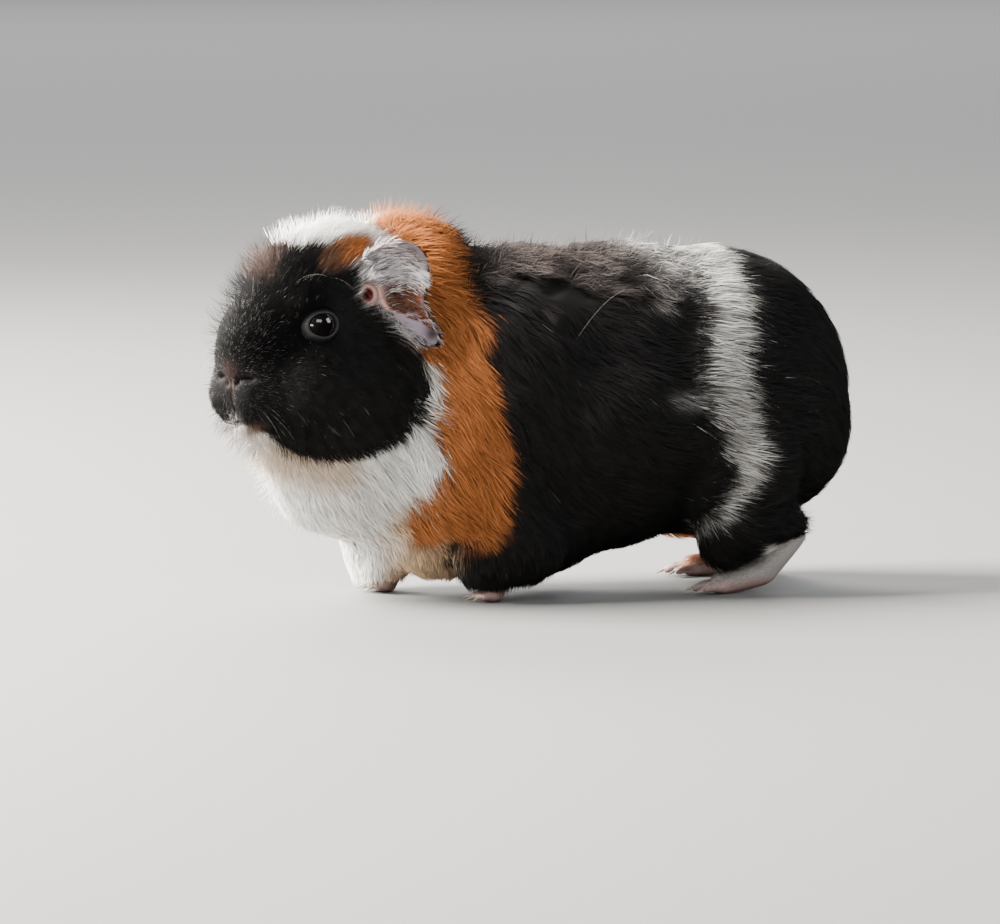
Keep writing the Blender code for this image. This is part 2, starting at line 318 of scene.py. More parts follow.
def eye_frame(eye):
    """The way that an eye looks out of the head, and the ways ahead and up across it."""
    back, right, up = HEAD_AXES
    side = 1 if (eye - np.array(HEAD_ORIGIN)) @ right > 0 else -1
    axis = unit(side * right - 0.28 * back + 0.08 * up)
    ahead = unit(-back - axis * (-back @ axis))
    upward = np.cross(axis, ahead)
    return axis, ahead, upward if upward[2] > 0 else -upward


def socketed(points, eye):
    """Presses the skin back behind the eyeball, so that the ball and its lids fill the opening."""
    axis = eye_frame(eye)[0]
    offset = points - eye
    height = offset @ axis
    radius = np.linalg.norm(offset - height[:, None] * axis, axis=1)
    inside = ramp(radius / MM, 6.8, 5.6) * (height > -4 * MM)
    return points - axis * (np.maximum(height - 0.2 * MM, 0) * inside)[:, None]


SKIN_SWELL = 0.4
SKIN_VOXEL = 1.2
SKIN_SMOOTHING = 14
FOOT_SWELL = -0.15
FOOT_VOXEL = 0.45
FOOT_SMOOTHING = 4
SINKING_STEPS = 8  # the skin is moved in under the coat in so many steps, smoothed after each


def lid_parts(skin):
    """The bare lids: a ring round each eyeball, from the wet edge on the ball out to under the coat."""
    tree = BVHTree.FromObject(skin, bpy.context.evaluated_depsgraph_get())
    parts = []
    for eye in EYE_PLACES:
        axis, ahead, upward = eye_frame(eye)
        points = []
        for step in range(LID_STEPS):
            angle = 2 * math.pi * step / LID_STEPS
            cosine, sine = math.cos(angle), math.sin(angle)
            front = math.exp(-((math.degrees(math.atan2(sine + 0.6, cosine - 0.3)) / 26) ** 2))
            rear = math.exp(-((math.degrees(math.atan2(sine - 0.1, -cosine - 0.3)) / 30) ** 2))
            for radius, height, share in LID_PROFILE:
                stretch = radius + share * (1.2 * front + 1.8 * rear)
                wide, high = stretch * cosine * LID_LENGTH, stretch * sine * 0.96
                place = eye + (ahead * wide + upward * high) * MM
                if height is None:
                    hit = tree.ray_cast(Vector(place + axis * 0.02), Vector(-axis))[0]
                    level = (np.array(hit) - eye) @ axis / MM - 0.6 if hit else 1.0
                else:
                    level = height - 1.1 * share * (front + rear) - 1.2 * (math.hypot(wide, high) - stretch)
                points.append(place + axis * (level * MM))
        parts.append((np.array(points), ring_faces(LID_STEPS, len(LID_PROFILE))))
    return parts


LID_STEPS = 72
LID_LENGTH = 1.2  # how much longer the opening is than it is high
# Lid section, from under the eyeball's edge outwards: distance from the eye's axis, height over the eye's
# centre, and share of the stretch towards the corners.
LID_PROFILE = [
    (4.5, 2.0, 0), (4.5, 3.6, 0), (4.7, 4.05, 0), (5.05, 4.1, 0.2), (5.4, 3.8, 0.5), (5.8, 3.3, 0.7),
    (6.3, 2.8, 0.9), (7.0, 1.9, 1), (8.4, None, 1), (7.0, -1.0, 0.6),
]


def foot_part(node):
    """A foot's skin: the solid, rounded off and closed up finely."""
    foot = joined_nodes("foot", [node], FOOT_SWELL)
    round_off = foot.modifiers.new("Round", "SUBSURF")
    round_off.levels = 2
    applied(foot)
    remeshed(foot, FOOT_VOXEL, FOOT_SMOOTHING)
    return taken_apart(foot)


def taken_apart(obj):
    """An object's points and triangles, and the object removed."""
    mesh = obj.data
    mesh.calc_loop_triangles()
    triangles = read(mesh.loop_triangles, "vertices", 3, np.int32)
    points = points_of(mesh)
    bpy.data.objects.remove(obj)
    return points, triangles


# ---------------------------------------------------------------- the ears

EAR_OPENING = np.array([20.5, 21, 120])
EAR_FAN = (96, -47)  # degrees up from straight back, at its front and at its lobe
EAR_FLARE = math.radians(42)
EAR_GRID = (84, 34)  # points round the fan, and from the opening out to the edge
EAR_SKIN = (0.28, 0.23, 0.25)
EAR_BACK = (0.16, 0.08, 0.055)
# The fleshy rim and the fold over the lobe, in the ear's plane: backwards and up.
EAR_RIM = [(-2.2, 1.5), (-0.8, 4.2), (2.4, 4.6), (4.8, 2.2), (6.2, -2.6), (8.2, -6.2)]
EAR_FOLD = [(8.2, -6.2), (14, -8.2), (20, -9.8), (27, -13.2)]


def ear_reach(angle):
    """How far an ear's edge lies from its opening, at these degrees up from straight back."""
    lobe = np.exp(-(((angle + 35) / 13) ** 2))
    front = np.maximum(0, angle - 60) / 32
    return 23.0 + 9.5 * lobe - 9 * front * front - 0.9 * np.cos(np.radians(angle * 5))


def along_route(across, up, route):
    """Distance from a route in the ear's plane, and how far below it a place lies."""
    route = np.array(route, float)
    nearest = np.full(across.shape, 1e9)
    below = np.zeros(across.shape)
    for start, end in zip(route, route[1:]):
        way = end - start
        share = np.clip(((across - start[0]) * way[0] + (up - start[1]) * way[1]) / (way @ way), 0, 1)
        gap_across = across - start[0] - share * way[0]
        gap_up = up - start[1] - share * way[1]
        distance = np.hypot(gap_across, gap_up)
        closer = distance < nearest
        nearest = np.where(closer, distance, nearest)
        turned = gap_across * way[1] - gap_up * way[0]
        below = np.where(closer, np.sign(turned) * distance, below)
    return nearest, below


def ear_part(side):
    """One ear: a thin cupped petal with a canal, a fleshy rim over it and a folded, drooping lobe."""
    around, out = EAR_GRID
    angle = np.linspace(*EAR_FAN, around)[:, None]
    turn = np.radians(angle)
    share = np.linspace(0.02, 1, out)[None, :]
    reach = ear_reach(angle)
    across = reach * share * np.cos(turn)
    up = reach * share * np.sin(turn)
    stand = 9 * np.maximum(0, np.sin(turn)) * ramp(angle, 100, 70) * share**2
    cup = -2.6 * np.sin(math.pi * np.clip(share * 1.05, 0, 1)) * ramp(angle, -52, -8)
    rim = np.exp(-((along_route(across, up, EAR_RIM)[0] / 1.15) ** 2))
    fold_gap, fold_below = along_route(across, up, EAR_FOLD)
    fold = np.exp(-((fold_gap / 1.2) ** 2)) * ramp(across, 7, 10)
    lobe = ramp(fold_below, -0.5, 1.5) * ramp(across, 6, 9) * (up < -2)
    canal = np.exp(-(((across - 1.2) ** 2 + (up + 0.2) ** 2) / 5.5))
    edge = ramp(share, 0.86, 0.97) * ramp(angle, -44, -18)
    wrinkle = 0.18 * np.sin(turn * 26 + 3 * share) * share * ramp(angle, -20, 20)
    cup = cup + 3.2 * np.exp(-(across**2 + up**2) / 60)
    front = cup + 2.3 * rim + 1.7 * fold - 1.2 * lobe * (1 - fold) - 3.6 * canal + 0.8 * edge + wrinkle
    thick = (1.5 - 0.9 * ramp(share, 0.1, 0.8)) * np.sqrt(1 - ramp(share, 0.93, 1.0) * 0.8)
    shaded = ramp(across, 5, 9) * ramp(up, 7, 0) * (1 - lobe)
    tip = np.exp(-(((across - 25.5) ** 2 + (up + 16) ** 2) / 14))

    total = around * out
    grid = np.arange(total).reshape(around, out)
    quads = np.stack([grid[:-1, :-1], grid[1:, :-1], grid[1:, 1:], grid[:-1, 1:]], -1).reshape(-1, 4)
    loop = np.concatenate([grid[:, 0], grid[-1, 1:], grid[::-1, -1][1:], grid[0, ::-1][1:-1]])
    follow = np.roll(loop, -1)
    walls = np.stack([loop, follow, follow + total, loop + total], -1)
    faces = np.concatenate([quads, quads[:, ::-1] + total, walls[:, ::-1]])
    if side > 0:
        faces = faces[:, ::-1]
    triangles = np.concatenate([faces[:, [0, 1, 2]], faces[:, [0, 2, 3]]])

    colour = EAR_SKIN
    for tint, amount in (
        ((0.10, 0.036, 0.02), shaded * 0.92),
        ((0.2, 0.15, 0.165), edge * 0.75),
        ((0.37, 0.30, 0.37), lobe),
        ((0.46, 0.37, 0.42), fold * 0.7),
        ((0.68, 0.38, 0.31), rim),
        ((0.24, 0.05, 0.045), canal**0.7),
        ((0.03, 0.025, 0.028), tip),
    ):
        colour = mixed(colour, tint, np.broadcast_to(amount, front.shape).ravel())
    rear = np.minimum(cup, front) - thick * 1.2
    points = np.concatenate([from_ear(across, up, rise, stand, side) for rise in (front, rear)])
    return points, triangles, np.concatenate([colour, np.tile(EAR_BACK, (total, 1))])


def from_ear(across, up, rise, stand, side):
    """Places given in an ear's plane and out from it, and moved sideways by stand, in metres."""
    back = np.cos(EAR_FLARE) * across - np.sin(EAR_FLARE) * rise
    out = np.sin(EAR_FLARE) * across + stand + np.cos(EAR_FLARE) * rise
    local = np.stack([EAR_OPENING[0] + back, side * (EAR_OPENING[1] + out), EAR_OPENING[2] + up], -1)
    return from_head(local.reshape(-1, 3))


# ---------------------------------------------------------------- camera, floor and lights


def make_stage():
    bpy.ops.mesh.primitive_plane_add(size=40, location=(0, 0, 0))
    floor = bpy.context.object
    floor.name = "floor"
    floor.data.materials.append(plain_material("floor_matte", (0.19, 0.188, 0.184), 0.8))
    floor.visible_glossy = False
    world = bpy.data.worlds.new("studio")
    world.use_nodes = True
    background = world.node_tree.nodes["Background"]
    background.inputs["Color"].default_value = (0.88, 0.89, 0.9, 1)
    background.inputs["Strength"].default_value = 0.17
    bpy.context.scene.world = world
    world.cycles_visibility.glossy = False
    for name, place, size, power, colour in LIGHTS:
        lamp = bpy.data.lights.new(name, "AREA")
        lamp.shape = "RECTANGLE"
        lamp.size, lamp.size_y = size
        lamp.energy = power
        lamp.color = colour
        light = new_object(name, lamp)
        light.location = place
        light.rotation_euler = (LIT_PLACE - Vector(place)).to_track_quat("-Z", "Y").to_euler()


LIT_PLACE = Vector((0, 0, 0.07))  # all the lamps point here
# Name, place, width and height, power and colour of each lamp.
LIGHTS = [
    ("key", (-1.35, 0.35, 1.05), (0.9, 0.9), 400, (1.0, 0.965, 0.9)),
    ("softbox", (-0.5, -1.15, 0.95), (0.95, 0.5), 7.5, (0.96, 0.98, 1.0)),
    ("rim", (-0.4, 1.2, 0.8), (0.5, 0.5), 40, (1.0, 0.95, 0.87)),
    ("fill", (1.2, -0.7, 0.9), (0.8, 0.8), 12, (0.96, 0.98, 1.0)),
    ("low", (-0.95, -0.25, 0.12), (0.4, 0.16), 2.2, (1.0, 0.97, 0.92)),
    ("backdrop", (0, 7, 4), (10, 6), 900, (0.97, 0.98, 1.0)),
]

CAMERA_TARGET = Vector((-10.6, 0, 50.5)) * MM
CAMERA_AZIMUTH = math.radians(-15)
CAMERA_ELEVATION = math.radians(6)
CAMERA_DISTANCE = 2.4
VIEW_WIDTH = 1000 / 2.58 * MM  # what the picture's width takes in at the animal


def make_camera():
    data = bpy.data.cameras.new("camera")
    data.sensor_width = 36
    data.lens = data.sensor_width * CAMERA_DISTANCE / VIEW_WIDTH
    data.clip_start = 0.1
    camera = new_object("camera", data)
    level = math.cos(CAMERA_ELEVATION)
    across = math.sin(CAMERA_AZIMUTH) * level
    away = Vector((across, -math.cos(CAMERA_AZIMUTH) * level, math.sin(CAMERA_ELEVATION)))
    camera.location = CAMERA_TARGET + away * CAMERA_DISTANCE
    camera.rotation_euler = (-away).to_track_quat("-Z", "Y").to_euler()
    bpy.context.scene.camera = camera


# ---------------------------------------------------------------- markings

BLACK = np.array([0.0145, 0.014, 0.0138])
WHITE = np.array([0.86, 0.84, 0.80])
GINGER = np.array([0.34, 0.115, 0.036])
BROWN = (0.12, 0.062, 0.038)
# Painted shade with warm bounce light on white fur, low on the chest and foreleg and under the jaw.
CREAM_SHADE = np.array([0.62, 0.43, 0.27])
BROW = (0.017, 0.0115, 0.0105)
NOSE = (0.05, 0.030, 0.028)
BROW_FLECK = (0.09, 0.055, 0.042)
CHEEK_STREAK = (0.30, 0.28, 0.275)
MOUTH_STREAK = (0.36, 0.33, 0.32)
LIP_COLOUR = (0.27, 0.15, 0.11)

# Edges of the bands, as X at degrees round the trunk from the back, down the left side and under the belly.
COLLAR_FRONT = [
    (0, -58), (12, -57), (35, -54), (56, -50.7), (68, -45), (80, -43), (98, -45), (108, -47.5),
    (116, -45), (159, -51),
]
COLLAR_BACK = [(0, -32), (27, -28), (62, -26), (85, -21), (114, -17), (135, -19), (159, -24)]
STRIPE_FRONT = [
    (0, 44), (18, 46), (27, 52), (34, 64), (44, 66), (75, 62), (94, 64), (110, 70), (122, 69.5),
    (137, 62), (152, 52),
]
STRIPE_BACK = [
    (0, 77), (27, 82), (44, 80.5), (60, 78), (85, 79), (105, 82.5), (118, 84), (132, 72), (145, 63),
    (158, 48),
]
BAND_SOFTNESS = 1.2  # half the width over which a band's edge fades

# The foot of the stripe on the left thigh: height, and its front and back edge along a line leaning outwards.
STRIPE_FOOT = [
    (21.5, 66.5, 69), (24.6, 68.5, 71.5), (28.8, 72, 75.5), (33, 75, 79.5), (37.2, 78.5, 83.5),
    (41.4, 82, 87.5), (45.6, 83.5, 91), (49.8, 83.5, 93.5), (54, 81, 94),
]

# The black of the face, as a closed outline in the head's frame: back and up.
FACE_OUTLINE = [
    (-45, 142), (-3.7, 142), (-3.5, 138.5), (0, 137.5), (6, 137.5), (10, 138), (11, 133), (20, 130),
    (27, 129), (29, 120.6), (33.5, 115.7), (41.5, 112), (44.5, 106.5), (54.5, 100.8), (58.5, 95.4),
    (62.5, 88.5), (63.6, 81.5), (62.8, 75.9), (59.8, 69.6), (54.3, 63.7), (45.3, 58.7), (34.4, 55.9),
    (23.5, 54.9), (10.8, 55.6), (1.7, 57), (-7.3, 59.8), (-12.8, 63.3), (-17.3, 67.2), (-25, 70),
    (-45, 70),
]
# The brown and ginger patch between the blaze and the ear.
PATCH_OUTLINE = [
    (9.9, 138), (11.2, 141.6), (16.2, 144.4), (20.8, 145.4), (27, 144.4), (32.6, 142.3), (34, 140),
    (32, 136), (29.8, 132.5), (25, 130.5), (19.9, 129), (10.8, 128), (8.1, 131.8),
]


def band_edge(angles, edge):
    """X of a band's edge at angles round the trunk. The right side's is the left's, shifted a little."""
    degrees, places = np.array(edge, float).T
    both = np.concatenate([-degrees[::-1], degrees])
    mirrored = places[::-1] + 4 * np.sin(np.radians(degrees[::-1] * 3))
    return np.interp(angles, both, np.concatenate([mirrored, places]), period=360)


def between(value, start, end):
    """1 from start to end, and 0 outside them, with soft edges."""
    risen = ramp(value, start - BAND_SOFTNESS, start + BAND_SOFTNESS)
    return risen * ramp(value, end + BAND_SOFTNESS, end - BAND_SOFTNESS)


def outline_distance(across, up, outline):
    """Distance outside a closed outline, negative inside it."""
    corners = np.array(outline, float)
    place = np.stack([across, up], 1)
    nearest = np.full(len(place), 1e9)
    inside = np.zeros(len(place), bool)
    for start, end in zip(corners, np.roll(corners, -1, 0)):
        along = end - start
        nearest = np.minimum(nearest, segment_gap(place, start, along))
        crosses = (start[1] > up) != (end[1] > up)
        with np.errstate(divide="ignore", invalid="ignore"):
            meets = start[0] + (up - start[1]) * along[0] / along[1]
        inside ^= crosses & (across < meets)
    return np.where(inside, -nearest, nearest)


def mixed(base, other, share):
    """Colours drawn from one towards another by a share of the way. Either may be one colour or many."""
    base = np.asarray(base)
    return base + (np.asarray(other) - base) * share[:, None]


def stripe_share(points, x, z, spread):
    """How much of the silvery stripe shows, from 0 to 1, down to its foot on the left thigh."""
    angles = round_angle(points)
    from_back = np.abs(angles)
    x = x + 0.9 * spread
    stripe = between(x, band_edge(angles, STRIPE_FRONT), band_edge(angles, STRIPE_BACK))
    streaks = ramp(noise(points, 2.6, 77) + 0.3 * spread, -0.1, 0.5)
    stripe = stripe * (1 - (1 - streaks) * ramp(from_back, 40, 26) * ramp(x, 72, 60))
    stripe = stripe * (1 - 0.5 * (1 - streaks) * ramp(from_back, 34, 18))
    height, front, back = np.array(STRIPE_FOOT, float).T
    slant = x - 0.27 * points[:, 1] / MM
    foot = between(slant, np.interp(z, height, front), np.interp(z, height, back))
    low = ramp(z, 54, 50) * (points[:, 1] < 0)
    stripe = stripe * (1 - low) + foot * low * ramp(z, 20, 24)
    prong = np.exp(-(((angles - 88) / 3.5) ** 2)) * ramp(x, 42, 54) * ramp(x, 62, 58)
    return np.maximum(stripe, prong * 0.45)


def body_markings(points, x, z, spread):
    """The black body with its silvery stripe, ginger collar, and the pale ruff, chest and far foreleg."""
    angles = round_angle(points)
    silvery = np.interp(np.abs(angles), [10, 45, 90, 130], [0.52, 0.46, 0.4, 0.44])
    colour = mixed(BLACK, WHITE * silvery[:, None], stripe_share(points, x, z, spread))
    ginger_low = ramp(z + 1.5 * noise(points, 14, 8) + 1.6 * spread - 0.22 * (x + 20), 22, 30)
    front = band_edge(angles, COLLAR_FRONT)
    colour = mixed(colour, GINGER, between(x, front, band_edge(angles, COLLAR_BACK)) * ginger_low)
    edge = np.where(points[:, 1] < -14 * MM, -38, -27)
    # The white turns cream low on the chest and the far foreleg, as painted shade with warm bounce light.
    pale = mixed(WHITE, CREAM_SHADE, ramp(z, 44, 26) * ramp(x, -64, -50))
    colour = mixed(colour, pale, ramp(x, edge + 2.5, edge - 2.5) * (1 - ginger_low))
    return mixed(colour, pale, ramp(x, front + BAND_SOFTNESS, front - BAND_SOFTNESS))


def head_markings(colour, points, x, spread):
    """The black face, the patch, the far brow, pale streaks and lips, laid over the body's colours."""
    back, right, up = to_head(points).T
    on_head = ramp(back, 54, 50) * (x < -36)
    across = back + 0.84 * np.maximum(np.abs(right) - 10, 0)
    wave = 0.8 * noise(points, 12, 3)
    jaw = outline_distance(across, up, FACE_OUTLINE)
    # Painted shade: a band of warm cream under the jaw, along the black's lower edge.
    throat_shade = ramp(jaw, 17, 6) * ramp(up, 68, 60) * ramp(across, 36, 20) * on_head
    colour = mixed(colour, CREAM_SHADE * 0.85, throat_shade * 0.7)
    face = ramp(outline_distance(across + wave + spread * 0.4, up + spread * 0.3, FACE_OUTLINE), 0.7, -0.7)
    face = face * on_head
    # Painted shade: the forehead and the top of the muzzle are darkened further, against the grey sheen that
    # the key lamp leaves there.
    painted_shade = 0.6 * ramp(back, 10, -6) * ramp(up, 84, 100)
    colour = mixed(colour, BLACK, face) * (1 - painted_shade * face)[:, None]
    patch = ramp(outline_distance(across + wave + spread * 0.5, up + spread * 0.5, PATCH_OUTLINE), 1.2, -1.2)
    patch *= ramp(np.abs(right), 10, 12.5) * on_head
    warm = ramp(across + wave + spread - 0.3 * (up - 136), 18.5, 22) * ramp(up, 129, 132)
    far_brow = ramp(right + wave, -9, -5) * ramp(back + spread, 0, -3) * ramp(up, 123, 129) * on_head
    cheek = ramp(jaw, -4.5, -1) * ramp(up, 95, 99) * ramp(up, 126, 122)
    streak = ramp(noise(points, 2.2, 71) + 0.35 * spread, 0.1, 0.5)
    bridge = np.exp(-((right - NOSE_MIDDLE) ** 2 + (up - 92) ** 2) / 15) * (back < -22)
    mouth = np.exp(-((back + 26) ** 2 + (right - 0.5) ** 2 + (up - 72) ** 2) / 12) * on_head
    lip = np.exp(-((back + 22) ** 2 + (up - 68.6) ** 2) / 5.0) * (back < 0) * on_head
    for tint, share in (
        (mixed(BROWN, GINGER, warm), patch),
        (BROW, far_brow),
        (BROW_FLECK, far_brow * ramp(noise(points, 1.8, 72), 0.6, 1.1)),
        (CHEEK_STREAK, cheek * streak * face),
        (NOSE, bridge * 0.9),
        (MOUTH_STREAK, mouth * streak),
        (LIP_COLOUR, lip * 0.9),
    ):
        colour = mixed(colour, tint, share)
    return colour


def markings(points, spread):
    """The coat's colour where it shows at these places. spread moves each place's edges, in millimetres."""
    x = points[:, 0] / MM + spread + 1.2 * noise(points, 22, 5)
    z = points[:, 2] / MM
    colour = head_markings(body_markings(points, x, z, spread), points, x, spread)
    near_hind = (x > 55) & (points[:, 1] < 0)
    far_hind = (x > 55) & (points[:, 1] > 0)
    colour = mixed(colour, WHITE, near_hind * ramp(z, 20, 17) * ramp(x, 84, 88))
    colour = mixed(colour, GINGER, far_hind * ramp(z, 22, 18))
    return mixed(colour, WHITE, far_hind * ramp(z, 12, 8) * ramp(x, 84, 80))


# ---------------------------------------------------------------- the lie of the coat


def lie(points, normals):
    """The way the hairs point, along the skin."""
    x, y, z = points.T / MM
    angles = np.abs(round_angle(points))
    out = np.sign(y)[:, None] * np.array([0, 1.0, 0])
    down = unit(np.array([0, 0, -1.0]) + out * ramp(angles, 50, 5)[:, None])
    drop = np.interp(x, [-80, -50, -22, 5, 35, 60, 90, 120], [55, 52, 58, 42, 24, 8, 8, 40])
    drop = drop * ramp(angles, 2, 45) + 6 * ramp(angles, 40, 0)
    drop = drop * ramp(angles, 175, 120) + 18 * ramp(angles, 120, 175)
    drop = np.radians(drop + 9 * noise(points, 26, 11) + 6 * noise(points, 8, 12))[:, None]
    body = np.cos(drop) * np.array([1.0, 0, 0]) + np.sin(drop) * down
    body = mixed_ways(body, (0.25, 0, -1.0), ramp(x, -62, -84) * ramp(z, 70, 56))

    places = to_head(points)
    back, _, up = places.T
    sink = ramp(up, 112, 92) * ramp(back, -24, 2)
    rise = ramp(up, 112, 128)
    away = unit(places - MUZZLE)
    away[:, 0] += 0.55
    away[:, 1] *= 0.6
    away[:, 2] += -1.05 * sink
    away[:, 0] += 0.5 * rise
    away[:, 2] += 0.2 * rise
    on_head = ramp(back, 42, 26)[:, None]
    way = unit(away) @ HEAD_AXES * on_head + body * (1 - on_head)
    for eye in EYE_PLACES:
        offset = points - eye
        round_eye = ramp(np.linalg.norm(offset, axis=1) / MM, 17, 8)[:, None]
        way = way * (1 - 0.75 * round_eye) + unit(offset) * 0.75 * round_eye
    way = mixed_ways(way, (0.1, 0, -1.0), ramp(z, 30, 18) * (x < 60))
    way += unit(normals) * 0.0001
    return along_surface(way, normals)


def mixed_ways(ways, other, share):
    """Directions turned towards another by a share of the way."""
    return ways * (1 - share[:, None]) + np.array(other) * share[:, None]


def along_surface(ways, normals):
    """Directions with what points out of the surface taken off, at unit length."""
    return unit(ways - normals * (ways * normals).sum(1)[:, None])


MUZZLE = np.array([-34.0, 0, 88])  # the head's hairs run back from here


def coat_length(points):
    """The hairs' length before it varies from hair to hair, in millimetres."""
    x, _, z = points.T / MM
    back, _, up = to_head(points).T
    angles = np.abs(round_angle(points))
    body = np.interp(x, [-70, -40, -15, 40, 110], [17, 17, 14.5, 14, 13])
    body = body * ramp(z, 20, 42) + 7.5 * ramp(z, 42, 20)
    body -= 4 * ramp(angles, 50, 25) * ramp(x, -38, -58)
    face = np.interp(back, [-33, -24, -12, 6, 20, 34], [1.9, 2.3, 3.2, 4.8, 7.5, 11])
    face += 5 * ramp(up, 122, 136) * ramp(back, -10, 8)
    face += 6 * ramp(up, 66, 56) * ramp(back, -16, 2)
    on_head = ramp(back, 44, 30)
    length = body * (1 - on_head) + face * on_head
    for eye in EYE_PLACES:
        near = ramp(np.linalg.norm(points - eye, axis=1) / MM, 19, 8)
        length = length * (1 - near) + 2.4 * near
    foot = ramp(z, 9.5, 6)
    return length * (1 - foot) + 2.4 * foot


def dorsal(points):
    """1 on the ruffled strip along the back, between the collar and the stripe."""
    x = points[:, 0] / MM
    angles = np.abs(round_angle(points))
    edge = 27 + 0.12 * x + 5 * noise(points, 13, 57)
    return ramp(angles, edge + 9, edge - 6) * ramp(x, -36, -24) * ramp(x, 70, 52)


def stray_share(points):
    """1 where single long hairs stand out of the coat: on the crown, the back and the chest."""
    back, _, up = to_head(points).T
    x = points[:, 0] / MM
    angles = np.abs(round_angle(points))
    crown = ramp(up, 122, 132) * ramp(back, -14, -2) * ramp(x, -30, -40)
    top = ramp(angles, 45, 25) * ramp(x, 70, 50) * np.interp(x, [-30, 0], [0.8, 0.3])
    chest = 0.35 * ramp(x, -84, -92) * ramp(points[:, 2] / MM, 80, 70)
    return np.maximum(np.maximum(crown, top), chest)


def on_face(points):
    """1 over the short hair of the forehead and muzzle, where pale-tipped hairs are mixed in, partly real
    pale tips and partly painted glints.
    """
    back, _, up = to_head(points).T
    brow = 0.13 * ramp(back, 2, -9) * ramp(up, 96, 108)
    pad = ramp(back, -15, -22)
    return np.maximum(np.maximum(brow, pad), 0.1 * ramp(back, 6, -6))


def coat_lift(points):
    """Degrees by which the hairs leave the skin at their roots."""
    back, _, up = to_head(points).T
    lift = 18 + 18 * dorsal(points)
    on_head = ramp(back, 46, 34)
    face = 30 + 18 * ramp(back, -16, -28) - 8 * ramp(up, 98, 108) * ramp(back, 8, -4) * ramp(up, 128, 120)
    face = face + 20 * ramp(up, 122, 136) * ramp(back, -12, 4)
    return lift * (1 - on_head) + face * on_head


# ---------------------------------------------------------------- growing the hairs


def scattered(mesh, kinds, count, weight):
    """Roots over a mesh's triangles: places, normals and UVs. weight gives the triangles' densities."""
    mesh.calc_loop_triangles()
    corners = read(mesh.loop_triangles, "vertices", 3, np.int32)
    loops = read(mesh.loop_triangles, "loops", 3, np.int32)
    uvs = read(mesh.uv_layers["OFBake"].data, "uv", 2).astype(float)
    normals = normals_of(mesh)
    spans = points_of(mesh)[corners]
    area = np.linalg.norm(np.cross(spans[:, 1] - spans[:, 0], spans[:, 2] - spans[:, 0]), axis=1) / 2
    facing = unit(normals[corners].mean(1))
    share = area * weight(spans.mean(1), facing, kinds)
    chosen = RNG.choice(len(corners), count, p=share / share.sum())
    first = np.sqrt(RNG.random(count))
    second = RNG.random(count)
    weights = np.stack([1 - first, first * (1 - second), first * second], 1)[:, :, None]
    place = (spans[chosen] * weights).sum(1)
    normal = unit((normals[corners[chosen]] * weights).sum(1))
    uv = (uvs[loops[chosen]] * weights).sum(1)
    return place, normal, uv


def clumped(roots, ends, strength):
    """Draws the ends of hairs together into locks, each with about LOCK_HAIRS of them."""
    centres = RNG.choice(len(roots), max(1, int(len(roots) / LOCK_HAIRS)), replace=False)
    tree = KDTree(len(centres))
    for place, index in enumerate(centres):
        tree.insert(roots[index], place)
    tree.balance()
    lock = centres[[tree.find(root)[1] for root in roots]]
    return ends + (ends[lock] - ends) * strength[:, None]


LOCK_HAIRS = 8.228  # hairs in a lock
BEND_SAG = 0.25  # how much of the sag over the body's roundness comes before the bend
BEND_PULL = 0.35  # how much of a lock's pull on the tip the bend follows
ROOT_DEPTH = 0.35  # how far under the skin the roots stand
FLATNESS = 0.55  # a hair's thickness over its width


def hairs(bent, roots, normals, ways, length, lift, width, colours, uvs, clump, mess=8, curl=CURL):
    """Closed three-sided spikes, bent halfway or straight: points, triangles, colours, UVs and normals.

    colours are each hair's own at its root, its middle and its tip.
    """
    count = len(roots)
    width = np.broadcast_to(width, count)
    clump = np.broadcast_to(clump, count)
    lift = np.radians(lift)
    turn = np.radians(RNG.normal(0, 1, count) * mess)
    side = np.cross(normals, ways)
    ways = ways * np.cos(turn)[:, None] + side * np.sin(turn)[:, None]
    start = ways * np.cos(lift)[:, None] + normals * np.sin(lift)[:, None]
    finish = ways * np.cos(lift * curl)[:, None] + normals * np.sin(lift * curl)[:, None]
    reach = (length * MM)[:, None]
    middles = roots + start * reach * BEND
    sag = normals * (length**2 / (2 * BODY_RADIUS) * MM)[:, None]
    middles = middles - sag * BEND_SAG
    straight_ends = middles + finish * reach * (1 - BEND) - sag * (1 - BEND_SAG)
    ends = clumped(roots, straight_ends, clump)
    middles = middles + (ends - straight_ends) * BEND_PULL
    base = roots - normals * (ROOT_DEPTH * MM)
    across = unit(np.cross(middles - base, normals + 1e-6))
    over = unit(np.cross(across, middles - base))
    rings, facings = [], []
    for place, share in ((base, 0.8), (middles, 1.0))[: 2 if bent else 1]:
        for corner in range(3):
            angle = math.radians(90 - 120 * corner)
            spread = across * math.cos(angle) + over * (FLATNESS * math.sin(angle))
            rings.append(place + spread * (width * (share * 0.5 * MM))[:, None])
            facings.append(normals + spread * ROUNDNESS)
    points = np.stack(rings + [ends], 1).reshape(-1, 3)
    facings = unit(np.stack(facings + [normals], 1).reshape(-1, 3))
    pattern = BENT_FACES if bent else STRAIGHT_FACES
    triangles = (pattern[None] + (len(rings) + 1) * np.arange(count)[:, None, None]).reshape(-1, 3)
    at_root, at_middle, at_tip = colours
    shown = [at_root] * 3 + ([at_middle] * 3 if bent else []) + [at_tip]
    flat = BENT_FLAT if bent else STRAIGHT_FLAT
    patches = uvs[:, None, None] + (flat[pattern] - 0.5)[None] * UV_PATCH
    return points, triangles, np.stack(shown, 1).reshape(-1, 3), patches.reshape(-1, 2), facings


ROUNDNESS = 0.55  # how round a hair looks; at 0 it takes the light as the body under it does


def under_coat(tints):
    """The colour of hairs near the skin, where less light reaches them."""
    return tints * (0.6 + 0.2 * ramp(tints.mean(1), 0.3, 0.6))[:, None]


def even_colours(tints, shades):
    """The colours along hairs that keep one colour from root to tip."""
    shades = shades[:, None]
    return under_coat(tints) * shades, tints * shades, tints * (1.15 * shades)


